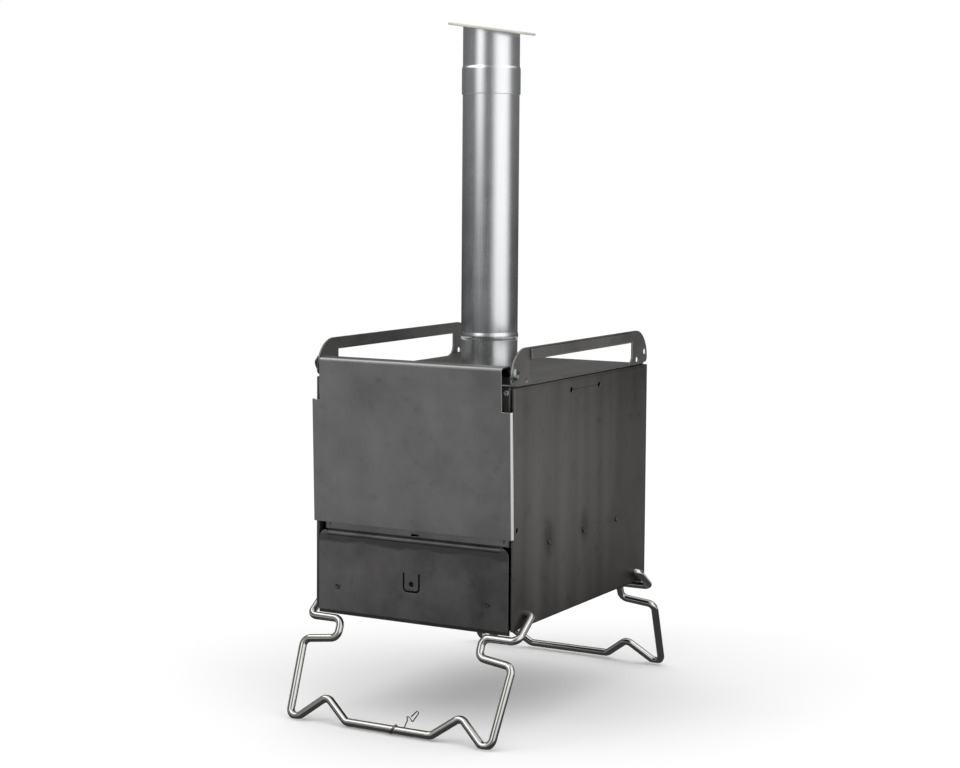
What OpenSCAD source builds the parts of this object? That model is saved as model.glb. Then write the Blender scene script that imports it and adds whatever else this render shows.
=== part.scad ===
// Tent wood stove: a sheet-metal body on two folding wire legs, with a swing-up fire door,
// an ash drawer and a flue in sections. Sizes are millimetres: X right, Y back, Z up.
// The body is drawn from its own bottom edge and raised until the feet stand on the floor.

/* [Body] */
// Width over the side panels
body_w = 230; // [180:1:300]
// Depth of the side panels, front to back
body_d = 311; // [240:1:400]
// Height of the side panels
panel_h = 238.5; // [200:0.5:320]
// Thickness of the body sheet
sheet = 1.2; // [0.8:0.1:2]
// Outer radius of a folded sheet edge
fold_r = 2.2; // [2:0.1:4]
// Width of the flanges folded inward along the top and bottom
panel_flange = 14; // [8:0.5:20]
// Width of the rolled hem down the front edge
hem_w = 3.7; // [3:0.1:6]
// Depth of that hem's inner leaf
hem_d = 10; // [6:0.5:16]
// Width of the flange folded behind the back panel
rear_flange = 12; // [8:0.5:16]
// Gap from that flange's foot to the bottom edge
rear_flange_gap = 2.8; // [2.6:0.1:6]

/* [Side panel details] */
// Length of the slit between the two relief holes
slit_l = 65; // [40:1:90]
// Width of the slit
slit_w = 0.6; // [0.4:0.1:2]
// Diameter of the relief holes at the slit's ends
relief_d = 6; // [4:0.5:8]
// Depth of the slit below the panel's top edge
slit_drop = 11.5; // [9:0.5:16]
// Diameter of the small hole near the front edge
edge_hole_d = 5.5; // [3:0.5:7]
// Distance of that hole from the front edge
edge_hole_in = 6.5; // [5:0.5:8]
// Height of that hole
edge_hole_up = 99; // [90:1:140]

/* [Bottom and back] */
// Gap between the bottom plate and the front hems
floor_side_gap = 0.5; // [0.2:0.1:1]
// Depth of the down-turned lips below the side panels
lip_drop = 4.3; // [3:0.1:6]
// Gap round the back panel
back_gap = 0.2; // [0.1:0.1:1]
// Width of the flange along the back panel's top
back_flange = 12; // [8:0.5:20]

/* [Top cover] */
// Thickness of the top cover's sheet
cover_sheet = 1.5; // [1:0.1:2.5]
// Outer radius of the top cover's folds
cover_fold_r = 2.5; // [2.3:0.1:5]
// Step from the side panel's face in to the ear's face
ear_inset = 2.5; // [1.5:0.1:5]
// Height of the ears above the top plate
ear_h = 37; // [30:0.5:60]
// Length of the ears beyond the side panels at each end
ear_over = 3; // [0:0.5:8]
// Radius of the ears' top corners
ear_r = 30; // [15:1:34]
// Radius of the ears' bottom corners
ear_foot_r = 5; // [2:0.5:8]
// Distance of the hand window from each end of the ear
window_end = 38.5; // [34:0.5:60]
// Radius of the window's bottom corners
window_r = 12; // [6:0.5:14]
// Height of the grip strip that is folded outward over the window
grip_h = 10.5; // [8:0.5:14]
// Drop from the ear's top to the grip strip's top
grip_drop = 2.1; // [1:0.1:4]
// Clear gap between the grip strip and the ear
grip_gap = 0.5; // [0.4:0.1:2]
// Shortening of the grip strip at each end of the window
grip_end_gap = 0.5; // [0.2:0.1:2]
// Diameter of the open holes in the ears
ear_hole_d = 7; // [4:0.5:9]
// Distance of the front lower holes from the ear's front ends
front_hole_in = 29.7; // [24:0.1:34]
// Distance of the rear lower holes from the ear's rear ends
rear_hole_in = 25.4; // [20:0.1:34]
// Height of the lower holes above the top plate
low_hole_up = 5; // [4.6:0.1:8]
// Distance from the plate's rear edge to the back of the body
plate_rear_gap = 5.5; // [4:0.5:12]
// Height of the down-turned lip behind the front frame
cover_lip = 12; // [10:0.5:18]

/* [Front frame] */
// Setback of the frame's face behind the side panels' front edges
frame_set = 5; // [4:0.5:8]
// Gap between the frame and each side panel's hem
frame_side_gap = 3.9; // [3:0.1:6]
// Outer radius of the frame's folded sides
frame_fold_r = 2.2; // [2:0.1:4]
// Width of each post beside the fire door's opening
post_w = 7.4; // [6:0.1:14]
// Depth of the frame's folded sides before they step outward
frame_side_d = 9; // [7:0.5:12]
// Depth of the step out to the side panels
frame_step_d = 6; // [4:0.5:10]
// Length of the foot that lies against the side panel
frame_foot = 12; // [8:0.5:20]
// Height of the sill's lower edge
sill_up = 82; // [60:0.5:120]
// Height of the sill between the drawer and the door's opening
sill_h = 9; // [6:0.5:16]
// Height of the frame's head above the door's opening
head_h = 21.5; // [18:0.5:30]
// Width of the relief slits in the sill
sill_slit_w = 1.2; // [0.8:0.1:3]
// Distance of those slits from the frame's sides
sill_slit_in = 5.4; // [4:0.1:12]
// Width of the sill's middle slot
sill_slot_w = 9; // [5:0.5:14]
// Height of the frame screws below the panel top
frame_screw_drop = 4.9; // [4.5:0.1:8]
// Distance of the frame screws from the frame's sides
frame_screw_in = 4.5; // [4.4:0.1:6]
// Diameter of the frame screws' heads
frame_screw_head = 6; // [4:0.5:6.5]
// Diameter of the frame screws' shanks
frame_screw_d = 2.9; // [2:0.1:4]
// Height of the frame screws' heads
frame_screw_head_h = 1.6; // [1:0.1:2.4]
// Width across the frame nuts' flats
frame_nut_w = 5.5; // [5:0.1:7]
// Thickness of the frame nuts
frame_nut_h = 2.4; // [1.5:0.1:4]

/* [Hinge] */
// Diameter of the hinge rod
hinge_rod_d = 6; // [4:0.5:8]
// Height of the hinge rod's axis above the top plate
hinge_up = 12.6; // [11:0.1:20]
// Distance from the ear's front end to the hinge rod's axis
hinge_in = 6; // [5:0.5:10]
// Radial running gap between the rod and the door's sleeve
hinge_run = 0.08; // [0.02:0.01:0.1]
// Outer diameter of the sleeve in the door's channel
sleeve_od = 10.2; // [9:0.1:12]
// Shortening of the sleeve inside each end of the channel
sleeve_end_gap = 8; // [1:0.5:20]
// Radial gap of the rod in the ears and the caps
rod_seat_gap = 0.05; // [0.02:0.01:0.1]
// Diameter of the domed rod caps
cap_d = 15.5; // [10:0.5:18]
// Height of the domed rod caps
cap_h = 4.5; // [3:0.5:7]
// Length of rod held inside each cap
cap_grip = 3; // [1.5:0.5:4]

/* [Fire door] */
// Distance of the door's sides beyond the side panels
door_over = 0.4; // [0:0.1:3]
// Gap between the door's top and each ear
door_ear_gap = 5.8; // [3:0.1:12]
// Outer radius of the folds down the door's sides
door_side_r = 3; // [2:0.1:5]
// Distance from the hinge axis down to the door's shoulders
door_shoulder = 36; // [30:0.5:50]
// Gap between the door's foot and the drawer's opening
door_foot_gap = 9.2; // [7:0.1:14]
// Distance from the hinge axis to the door's face
door_front = 12.9; // [10:0.1:16]
// Distance from the hinge axis to the channel's top
door_top = 7.2; // [6.5:0.1:10]
// Distance from the hinge axis to the channel's rear face
door_rear = 6.5; // [6:0.1:8]
// Length of the channel's rear flange below the hinge axis
door_flange = 11.6; // [8:0.1:12]
// Outer radius of the channel's folds
door_fold_r = 4; // [2.5:0.1:5]
// Depth of the door's side returns
door_return = 4.4; // [3:0.1:6]
// Lean of the hanging door, foot inward, in degrees
door_lean = 1.78; // [0:0.01:2]

/* [Ash drawer] */
// Gap between the drawer's face and each hem
drawer_side_gap = 1.1; // [0.6:0.1:2]
// Height of the drawer's face
drawer_h = 82.5; // [60:0.5:120]
// Drop of the drawer's face below the side panels
drawer_drop = 0.5; // [0:0.1:2]
// Gap from the drawer's face back to the side panels
drawer_front_gap = 0.4; // [0.3:0.1:1]
// Radius of the face's top corners
drawer_r = 9; // [5:0.5:14]
// Outer radius of the curved top lip
drawer_lip_r = 4; // [3:0.1:5]
// Depth of the curved top lip
drawer_lip_d = 5; // [4.2:0.1:5.2]
// Thickness of the tray's sheet
tray_sheet = 1; // [0.8:0.1:1.5]
// Half width of the tray's gap to the leg ends
tray_leg_gap = 2.5; // [1.5:0.1:6]
// Gap under the tray
tray_under_gap = 0.3; // [0.3:0.1:1]
// Height of the tray's sides
tray_h = 56; // [30:1:80]
// Distance from the tray's rear end to the back of the body
tray_rear_gap = 26.4; // [20:0.2:60]
// Width over the pull tab's slot
tab_w = 18; // [12:0.5:30]
// Width of the pull tab's slot
tab_slot = 1.5; // [0.8:0.1:3]
// Height of the pull tab's foot
tab_up = 28; // [20:0.5:40]
// Height of the pull tab
tab_h = 19.5; // [12:0.5:30]
// Radius of the pull tab's lower corners
tab_r = 4; // [2:0.5:6]
// Diameter of the hole in the pull tab
tab_hole_d = 5; // [3:0.5:8]
// Height of that hole above the tab's foot
tab_hole_up = 7.6; // [5:0.1:12]
// Distance of the drawer rivets from the face's sides
drawer_rivet_in = 23; // [14:0.5:40]
// Height of the drawer rivets
drawer_rivet_up = 25; // [15:0.5:40]

/* [Grate] */
// Height of the rails' top face, which carries the grate
rail_up = 84; // [70:0.5:120]
// Height of the rails' upright leaf
rail_h = 14; // [10:0.5:20]
// Width of the rails' ledge
rail_w = 16; // [10:0.5:24]
// Drop from the rails' top face to their rivets
rail_rivet_drop = 6.4; // [5:0.1:9]
// Spacing of the rail rivets
rail_rivet_step = 79; // [60:1:100]
// Thickness of the grate
grate_t = 2; // [1.5:0.1:4]
// Gap between the grate and each side of the front frame
grate_gap = 1.2; // [0.5:0.1:5]
// Width of the grate's slots
grate_slot_w = 5; // [3:0.5:8]
// Length of the grate's slots
grate_slot_l = 52; // [30:1:70]
// Spacing of the slots across the grate
grate_pitch = 16; // [10:0.5:24]
// Columns of slots across the grate
grate_cols = 11; // [5:2:15]
// Rows of slots along the grate
grate_rows = 4; // [2:1:6]

/* [Fasteners] */
// Diameter of the rivets' shanks
rivet_d = 3.2; // [2.4:0.1:4]
// Diameter of the rivets' heads
rivet_head_d = 5.6; // [4:0.1:8]
// Height of the rivets' heads
rivet_head_h = 1.1; // [0.6:0.1:2]
// Diameter of the rivets' upset tails
rivet_tail_d = 4.6; // [3.6:0.1:6]
// Height of the rivets' upset tails
rivet_tail_h = 1; // [0.6:0.1:2]
// Radial gap of screws and rivets in their holes
fastener_gap = 0.1; // [0.05:0.01:0.3]

/* [Flue] */
// Outer diameter of the flue pipe
pipe_d = 60; // [50:0.5:80]
// Wall of the flue pipe
pipe_wall = 0.7; // [0.5:0.1:1.2]
// Distance of the flue's axis behind the body's middle
pipe_back = 2; // [0:0.5:60]
// Length of the lower pipe
lower_l = 315.6; // [150:0.2:400]
// Height of the lower pipe's bead above the top plate
bead_up = 31.5; // [20:0.5:60]
// Width of a pipe bead
bead_w = 8.4; // [5:0.1:12]
// Height of a pipe bead over the pipe's wall
bead_out = 1; // [0.5:0.1:2]
// Length of the upper pipe's socket
socket_l = 26; // [15:0.5:50]
// Radial gap between the socket and the lower pipe
socket_gap = 0.3; // [0.3:0.05:0.6]
// Length of the upper pipe's shoulder
shoulder_l = 4; // [2:0.5:8]
// Length of the upper pipe above its shoulder, on the axis
upper_l = 37; // [30:0.5:80]
// Slant of the pipe's top, falling to the right, in degrees
top_slant = 7.9; // [0:0.1:20]
// Diameter of the flue cap's disc
disc_d = 93; // [70:1:120]
// Thickness of the flue cap's disc
disc_t = 2.5; // [1:0.1:4]
// Length of the flue cap's spigot, on the axis
cap_spigot_l = 14; // [8:0.5:30]
// Radial gap between the spigots and the pipe's bore
spigot_gap = 0.3; // [0.3:0.05:0.6]
// Wall of the collar and of the cap's spigot
spigot_wall = 1; // [0.8:0.1:1.6]
// Height of the collar above the top plate
collar_h = 26; // [15:0.5:30]
// Width of the collar's flange outside the spigot
collar_flange = 12; // [8:0.5:20]

/* [Legs] */
// Diameter of the leg wire
leg_d = 8; // [6:0.5:10]
// Bend radius of the leg wire, on its centre line
leg_bend = 8; // [6:0.5:9]
// Bend radius of the leg wire beside its pivot holes, on its centre line
pivot_bend = 5.9; // [5:0.1:8]
// Distance of the pivot holes from the body's ends
pivot_in = 29.5; // [24:0.5:50]
// Height of the pivot holes
pivot_up = 12.5; // [11:0.5:20]
// Radial running gap of the leg wire in its hole
pivot_run = 0.08; // [0.02:0.01:0.1]
// Length of leg wire inside the side panel's face
leg_end_in = 8.5; // [5:0.5:14]
// Distance from the side panel's face to the arm's centre line
arm_out = 6; // [5:0.5:9]
// Distance of the stop run beyond the body's end
run_out = 1.5; // [0.5:0.1:4]
// Gap between the stop run and the bottom plate's lip
run_gap = 0.3; // [0.3:0.1:1]
// Length of the stop run, from the arm in to the C bend
run_l = 38.5; // [28:0.5:60]
// Lean of the leg's frame outward, in degrees
leg_lean = 25.1; // [10:0.1:35]
// Depth of the C bend
c_depth = 19.9; // [17:0.1:30]
// Fall of the run back out to the leg's shoulder
shoulder_fall = 5; // [0:0.1:10]
// Distance from the C bend out to the leg's shoulder
shoulder_out = 38.8; // [30:0.1:60]
// Distance from the shoulder's corner in to the foot's corner
foot_in = 5.6; // [0:0.1:20]
// Distance down the frame from the stop run to the foot's corner
foot_reach = 112.4; // [80:0.5:180]
// Distance from the foot's corner in to the top of the hump
hump_in = 38.2; // [25:0.1:60]
// Height of the hump's corner above the foot's corner
hump_rise = 32.4; // [24:0.5:50]
// Distance from the hump in to the cross bar's corner
bar_in = 28.5; // [20:0.5:50]
// Drop of the cross bar's corner below the hump's corner
bar_drop = 22; // [16:0.5:34]

/* [Leg keeper] */
// Diameter of the keeper's wire
keeper_d = 1.2; // [0.8:0.1:2]
// Distance of the keeper from the stove's middle plane
keeper_x = 6.4; // [0:0.1:30]
// Radial gap between the keeper's ring and the leg wire
keeper_gap = 0.3; // [0.3:0.1:1]
// Tilt of the keeper's ring on the leg wire, in degrees
keeper_tilt = 24; // [0:1:40]
// Bend radius of the keeper's wire, on its centre line
keeper_bend = 1; // [0.7:0.1:1.5]
// Reach of the keeper's wire along the cross bar
keeper_w = 26; // [16:0.5:40]
// Height of the keeper's hook above the cross bar's middle
keeper_h = 20.5; // [14:0.5:30]

/* [Hidden] */
$fn = 64;

// One overrun for every through cut
over = sheet;

// Lap of straight lengths into folds that are not square
fold_lap = 0.05;

// A ring where each bend starts and ends. The photo shows none: it is here for the build, since
// straight and bent lengths of one diameter don't join in it
grip_mark_w = 0.5;
grip_mark_h = 0.02;

// Corners of the keeper's wire from the ring's back, as shares of its reach and its height,
// and of the wire's diameter towards the back
keeper_shares = [[0, 0, 0], [0.33, 0.05, 0], [0.5, 0.5, 0], [0.45, 0.7, 0], [0.6, 0.63, 0],
  [0.71, 0.43, 0], [1, 0.94, 0], [0.91, 1, 0], [0.62, 0.67, 1.5]];

// The keeper's ring is a little thicker than its wire, for the build alone and for the same cause
keeper_knuckle = 0.04;

half_w = body_w / 2;
half_d = body_d / 2;
web_in = half_w - sheet;
hem_in = half_w - hem_w;

// The leg's corners in its leaning frame: [across, down]
arm_x = half_w + arm_out;
run_drop = lip_drop + run_gap + leg_d / 2;
c_x = arm_x - run_l;
leg_corners = [[c_x, 0], [c_x, c_depth], [c_x + shoulder_out, c_depth + shoulder_fall],
  [c_x + shoulder_out - foot_in, foot_reach],
  [c_x + shoulder_out - foot_in - hump_in, foot_reach - hump_rise],
  [c_x + shoulder_out - foot_in - hump_in - bar_in, foot_reach - hump_rise + bar_drop]];
bar_s = foot_reach - hump_rise + bar_drop;

// The lowest point of the bend at corner b, between its neighbours a and c
function unit(v) = v / norm(v);
function bend_low(a, b, c, r) =
  b[1] + unit(unit(a - b) + unit(c - b))[1] * r
    / sin(acos(unit(a - b) * unit(c - b)) / 2) + r;
foot_low = bend_low(leg_corners[2], leg_corners[3], leg_corners[4], leg_bend);
body_up = run_drop + foot_low * cos(leg_lean) + leg_d / 2;

plate_z = panel_h + cover_sheet;
ear_x = half_w - ear_inset;
ear_end = half_d + ear_over;
ear_top = plate_z + ear_h;
hinge_y = ear_end - hinge_in;
hinge_z = plate_z + hinge_up;
fold_drop = grip_drop + grip_h;
grip_r = cover_sheet + grip_gap / 2;
fold_z = ear_top - fold_drop + grip_r;

frame_y = half_d - frame_set;
frame_x = hem_in - frame_side_gap;
frame_mid = frame_fold_r - sheet / 2;
screw_x = frame_x - frame_screw_in;
screw_z = panel_h - frame_screw_drop;

door_foot = hinge_z - sill_up - door_foot_gap;
door_x = half_w + door_over;
door_top_x = ear_x - cover_sheet - door_ear_gap;
floor_x = hem_in - floor_side_gap;
floor_top = sheet * 2;

drawer_x = hem_in - drawer_side_gap;
drawer_y = half_d + drawer_front_gap;
tray_x = half_w - leg_end_in - tray_leg_gap;
tray_z = floor_top + tray_under_gap;
tray_l = drawer_y + half_d - tray_rear_gap;
drawer_rivet_x = drawer_x - drawer_rivet_in;

back_y = half_d - sheet;
rail_y0 = frame_y - sheet - frame_side_d - frame_step_d - frame_foot;
rail_l = rail_y0 + back_y - sheet - back_gap;

spigot_r = pipe_d / 2 - pipe_wall - spigot_gap;
socket_z = plate_z + lower_l - socket_l;
shoulder_z = socket_z + socket_l;
top_z = shoulder_z + shoulder_l + upper_l;

// Sheet folded along a path of corners, every fold of one radius, seen end on.
// The straight lengths run into the folds by the lap.
module folded(path, t, r, lap = 0) {
  n = len(path);
  function dir(i) = unit(path[i + 1] - path[i]);
  function side(i) = dir(i - 1)[0] * dir(i)[1] - dir(i - 1)[1] * dir(i)[0] > 0 ? 1 : -1;
  function turn(i) = acos(dir(i - 1) * dir(i));
  function cut(i) = i == 0 || i == n - 1 ? 0 : r * tan(turn(i) / 2);
  for (i = [0 : n - 2]) {
    a = path[i] + dir(i) * cut(i);
    l = norm(path[i + 1] - path[i]) - cut(i) - cut(i + 1);
    l0 = i == 0 ? 0 : lap;
    l1 = i == n - 2 ? 0 : lap;
    translate(a) rotate(atan2(dir(i)[1], dir(i)[0])) translate([-l0, -t / 2])
      square([l + l0 + l1, t]);
  }
  for (i = [1 : n - 2]) {
    d = dir(i - 1);
    across = [-d[1], d[0]] * side(i);
    c = path[i] - d * cut(i) + across * r;
    reach = (r + t) / cos(turn(i) / 2);
    p = unit(-across);
    q = [p[0] * cos(turn(i)) - p[1] * sin(turn(i)) * side(i),
      p[0] * sin(turn(i)) * side(i) + p[1] * cos(turn(i))];
    m = unit(p + q);
    translate(c) intersection() {
      difference() { circle(r + t / 2); circle(r - t / 2); }
      polygon([[0, 0], p * reach, m * reach / cos(turn(i) / 2), q * reach]);
    }
  }
}

// A profile drawn across the stove (X, Z) and drawn out from y0 to y1
module along_y(y0, y1) {
  translate([0, y1, 0]) rotate([90, 0, 0]) linear_extrude(y1 - y0) children();
}

// A profile drawn from the side (Y, Z) and drawn out from x0 to x1
module along_x(x0, x1) {
  translate([x0, 0, 0]) rotate([90, 0, 90]) linear_extrude(x1 - x0) children();
}

// A hole or rod across the stove, from x0 to x1, at a place seen from the side
module cross(x0, x1, y, z, d) {
  translate([x0, y, z]) rotate([0, 90, 0]) cylinder(h = x1 - x0, d = d);
}

// A hole or rod from y0 back to y1, at a place seen from the front
module deep(x, y0, y1, z, d) {
  translate([x, y0, z]) rotate([-90, 0, 0]) cylinder(h = y1 - y0, d = d);
}

// What is left of a square corner outside its fillet
module corner(r) {
  difference() { square([r, r]); circle(r); }
}

// Wire along a path of corners, with a list of bend radii, one for each corner
module wire(path, d, r) {
  n = len(path);
  function dir(i) = unit(path[i + 1] - path[i]);
  function turn(i) = acos(dir(i - 1) * dir(i));
  function cut(i) = i == 0 || i == n - 1 ? 0 : r[i] * tan(turn(i) / 2);
  // Axes of a length of wire: any across, its partner, and the way it runs
  function across(v) = unit(cross_of(v, abs(v[2]) < 1 / 2 ? [0, 0, 1] : [1, 0, 0]));
  function cross_of(a, b) = [a[1] * b[2] - a[2] * b[1], a[2] * b[0] - a[0] * b[2],
    a[0] * b[1] - a[1] * b[0]];
  function place(x, y, z, o) = [[x[0], y[0], z[0], o[0]], [x[1], y[1], z[1], o[1]],
    [x[2], y[2], z[2], o[2]], [0, 0, 0, 1]];
  for (i = [0 : n - 2]) {
    z = dir(i);
    x = across(z);
    l = norm(path[i + 1] - path[i]) - cut(i) - cut(i + 1);
    multmatrix(place(x, cross_of(z, x), z, path[i] + z * cut(i))) {
      cylinder(h = l, d = d);
      for (end = [i == 0 ? [] : [0], i == n - 2 ? [] : [l]], e = end)
        translate([0, 0, e - grip_mark_w / 2])
          cylinder(h = grip_mark_w, d = d + grip_mark_h * 2);
    }
  }
  for (i = [1 : n - 2]) {
    z = unit(cross_of(dir(i - 1), dir(i)));
    x = cross_of(dir(i - 1), z);
    c = path[i] - dir(i - 1) * cut(i) - x * r[i];
    multmatrix(place(x, dir(i - 1), z, c))
      rotate_extrude(angle = turn(i)) translate([r[i], 0]) circle(d = d);
  }
}

// A rivet along +Y: head in front of y, tail behind a grip of two sheets
module rivet(grip) {
  rotate([-90, 0, 0]) {
    translate([0, 0, -rivet_head_h]) cylinder(h = rivet_head_h, d = rivet_head_d);
    translate([0, 0, -rivet_head_h / 2])
      cylinder(h = grip + rivet_head_h / 2 + rivet_tail_h / 2, d = rivet_d);
    translate([0, 0, grip]) cylinder(h = rivet_tail_h, d = rivet_tail_d);
  }
}

module mirrored() {
  children();
  mirror([1, 0, 0]) children();
}

// Side sheet: web with flanges top and bottom, a rolled hem in front, a flange behind
module right_panel() {
  mid = fold_r - sheet / 2;
  x = half_w - sheet / 2;
  hem_mid = (hem_w - sheet) / 2;
  z0 = sheet / 2;
  z1 = panel_h - sheet / 2;
  difference() {
    union() {
      along_y(hem_d - half_d, back_y - fold_r)
        folded([[half_w - panel_flange, z0], [x, z0], [x, z1], [half_w - panel_flange, z1]],
          sheet, mid);
      linear_extrude(panel_h) {
        translate([half_w - hem_w / 2, hem_w / 2 - half_d]) difference() {
          circle(d = hem_w);
          circle(d = hem_w - sheet * 2);
          translate([-hem_w, 0]) square([hem_w * 2, hem_w]);
        }
        for (x = [hem_in, web_in])
          translate([x, hem_w / 2 - half_d]) square([sheet, hem_d - hem_w / 2]);
      }
      translate([0, 0, rear_flange_gap]) linear_extrude(panel_h - rear_flange_gap)
        folded([[x, back_y - fold_r], [x, half_d - sheet / 2],
          [half_w - rear_flange, half_d - sheet / 2]], sheet, mid);
    }
    for (side = [-1, 1])
      cross(web_in - over, half_w + over, side * (half_d - pivot_in), pivot_up,
        leg_d + pivot_run * 2);
    for (side = [-1, 1]) cross(web_in - over, half_w + over, side * slit_l / 2,
      panel_h - slit_drop, relief_d);
    translate([web_in - over, -slit_l / 2, panel_h - slit_drop - slit_w / 2])
      cube([sheet + over * 2, slit_l, slit_w]);
    for (i = [-1, 0, 1]) cross(web_in - over, half_w + over, i * rail_rivet_step,
      rail_up - rail_rivet_drop, rivet_d + fastener_gap * 2);
    cross(web_in - (hem_w - sheet * 2) / 2, half_w + over, edge_hole_in - half_d,
      edge_hole_up, edge_hole_d);
    for (z = back_rivet_heights) deep(back_rivet_x, back_y - over, half_d + over, z,
      rivet_d + fastener_gap * 2);
  }
}

// Back rivets stand in the middle of the flange, at shares of the panel's height
back_rivet_x = half_w - (rear_flange + fold_r) / 2;
back_rivet_shares = [0.15, 0.5, 0.85];
back_rivet_heights = [for (s = back_rivet_shares) s * panel_h];

module right_side_panel() {
  color("dimgray") right_panel();
}

module left_side_panel() {
  color("dimgray") mirror([1, 0, 0]) right_panel();
}

// Floor sheet: lies on the panels' bottom flanges, its ends turned down as lips
module bottom_plate() {
  y = half_d - sheet / 2;
  z = floor_top - sheet / 2;
  color("slategray") along_x(-floor_x, floor_x)
    folded([[-y, -lip_drop], [-y, z], [y, z], [y, -lip_drop]], sheet, fold_r - sheet / 2);
}

// Rear sheet: stands inside the panels' rear flanges, its top turned forward
module back_panel() {
  x = half_w - fold_r - back_gap;
  y = back_y - sheet / 2;
  flange_x = half_w - panel_flange - back_gap;
  color("slategray") difference() {
    union() {
      along_x(-flange_x, flange_x)
        folded([[y, rear_flange_gap], [y, panel_h - sheet / 2],
          [y - back_flange, panel_h - sheet / 2]], sheet, fold_r - sheet / 2);
      for (side = [-1, 1]) scale([side, 1, 1])
        translate([flange_x - over, back_y - sheet, rear_flange_gap])
          cube([x - flange_x + over, sheet, panel_h - rear_flange_gap - fold_r]);
    }
    for (side = [-1, 1], z = back_rivet_heights)
      deep(side * back_rivet_x, back_y - sheet - over, back_y + over, z,
        rivet_d + fastener_gap * 2);
  }
}

module back_panel_rivets() {
  color("silver") for (side = [-1, 1], z = back_rivet_heights)
    translate([side * back_rivet_x, half_d, z]) rotate([0, 0, 180]) rivet(sheet * 2);
}

// One ear seen from the side, from the plate's fold up
module ear_outline() {
  low = plate_z - cover_sheet + cover_fold_r;
  difference() {
    translate([-ear_end, low]) square([ear_end * 2, ear_top - low]);
    for (side = [-1, 1]) scale([side, 1]) {
      translate([ear_end - ear_r, ear_top - ear_r]) corner(ear_r);
      translate([ear_end - ear_foot_r, low + ear_foot_r]) scale([1, -1]) corner(ear_foot_r);
    }
    for (y = [front_hole_in - ear_end, ear_end - rear_hole_in])
      translate([y, plate_z + low_hole_up]) circle(d = ear_hole_d);
    translate([hinge_y, hinge_z]) circle(d = ear_hole_d);
    translate([-hinge_y, hinge_z]) circle(d = hinge_rod_d + rod_seat_gap * 2);
  }
}

// Hand window: flush with the plate, its upper edge where the grip strip folds over
module window() {
  y = ear_end - window_end;
  difference() {
    translate([-y, plate_z]) square([y * 2, fold_z - plate_z]);
    for (side = [-1, 1]) scale([side, 1])
      translate([y - window_r, plate_z + window_r]) scale([1, -1]) corner(window_r);
  }
}

// Top sheet: plate, two ears with folded grip strips, and a lip behind the front frame
module top_cover() {
  mid = cover_fold_r - cover_sheet / 2;
  x = ear_x - cover_sheet / 2;
  z = plate_z - cover_sheet / 2;
  y0 = -frame_y + sheet;
  y1 = half_d - plate_rear_gap;
  lip_x = frame_x - frame_fold_r;
  grip_y = ear_end - window_end - grip_end_gap;
  color("gray") difference() {
    union() {
      along_y(y0 + cover_fold_r, y1)
        folded([[-x, plate_z + cover_fold_r], [-x, z], [x, z], [x, plate_z + cover_fold_r]],
          cover_sheet, mid);
      along_x(-lip_x, lip_x)
        folded([[y0 + cover_sheet / 2, plate_z - cover_lip], [y0 + cover_sheet / 2, z],
          [y0 + cover_fold_r * 2, z]], cover_sheet, mid);
      for (side = [0, 1]) mirror([side, 0, 0])
        along_x(ear_x - cover_sheet, ear_x) ear_outline();
    }
    mirrored() along_x(ear_x - cover_fold_r * 2, ear_x + over) window();
    translate([0, pipe_back, panel_h - over]) cylinder(h = cover_sheet + over * 2,
      r = spigot_r + fastener_gap);
    mirrored() deep(screw_x, y0 - over, y0 + cover_sheet + over, screw_z,
      frame_screw_d + fastener_gap * 2);
  }
  color("gray") mirrored() along_y(-grip_y, grip_y)
    translate([ear_x - cover_sheet + grip_r, fold_z]) {
      difference() {
        circle(grip_r);
        circle(grip_gap / 2);
        translate([-grip_r * 2, 0]) square(grip_r * 4);
      }
      translate([grip_gap / 2, 0]) square([cover_sheet, fold_drop - grip_r - grip_drop]);
      translate([-grip_r, 0]) square([cover_sheet, cover_sheet]);
    }
}

// Frame round the door's opening: face, sides folded back, and feet against the panels
module front_frame() {
  x = frame_x - sheet / 2;
  y = -frame_y + sheet / 2;
  side_y = -frame_y + sheet + frame_side_d;
  foot_y = side_y + frame_step_d;
  opening_x = frame_x - post_w;
  color("darkgray") difference() {
    union() {
      mirrored() translate([0, 0, sill_up]) linear_extrude(panel_h - sill_up)
        folded([[opening_x, y], [x, y], [x, side_y], [web_in - sheet / 2, foot_y],
          [web_in - sheet / 2, foot_y + frame_foot]], sheet, frame_mid, fold_lap);
      translate([-opening_x - over, -frame_y, sill_up])
        cube([(opening_x + over) * 2, sheet, sill_h]);
      translate([-opening_x - over, -frame_y, panel_h - head_h])
        cube([(opening_x + over) * 2, sheet, head_h]);
    }
    translate([-body_w, hem_d - half_d - over, panel_h - fold_r])
      cube([body_w * 2, frame_side_d + frame_step_d + frame_foot * 2, fold_r * 2]);
    mirrored() translate([frame_x - sill_slit_in - sill_slit_w, -frame_y - over,
      sill_up + sill_h - sill_slit_in]) cube([sill_slit_w, sheet + over * 2, sill_h]);
    translate([-sill_slot_w / 2, -frame_y - over, sill_up + sill_slit_w])
      cube([sill_slot_w, sheet + over * 2, sill_slit_w * 2]);
    mirrored() deep(screw_x, -frame_y - over, over - frame_y + sheet, screw_z,
      frame_screw_d + fastener_gap * 2);
  }
}

module frame_screws() {
  color("silver") mirrored() {
    l = sheet + cover_sheet + frame_nut_h;
    deep(screw_x, -frame_y - frame_screw_head_h / 2, l - frame_y, screw_z, frame_screw_d);
    deep(screw_x, -frame_y - frame_screw_head_h, -frame_y, screw_z, frame_screw_head);
  }
}

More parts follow.
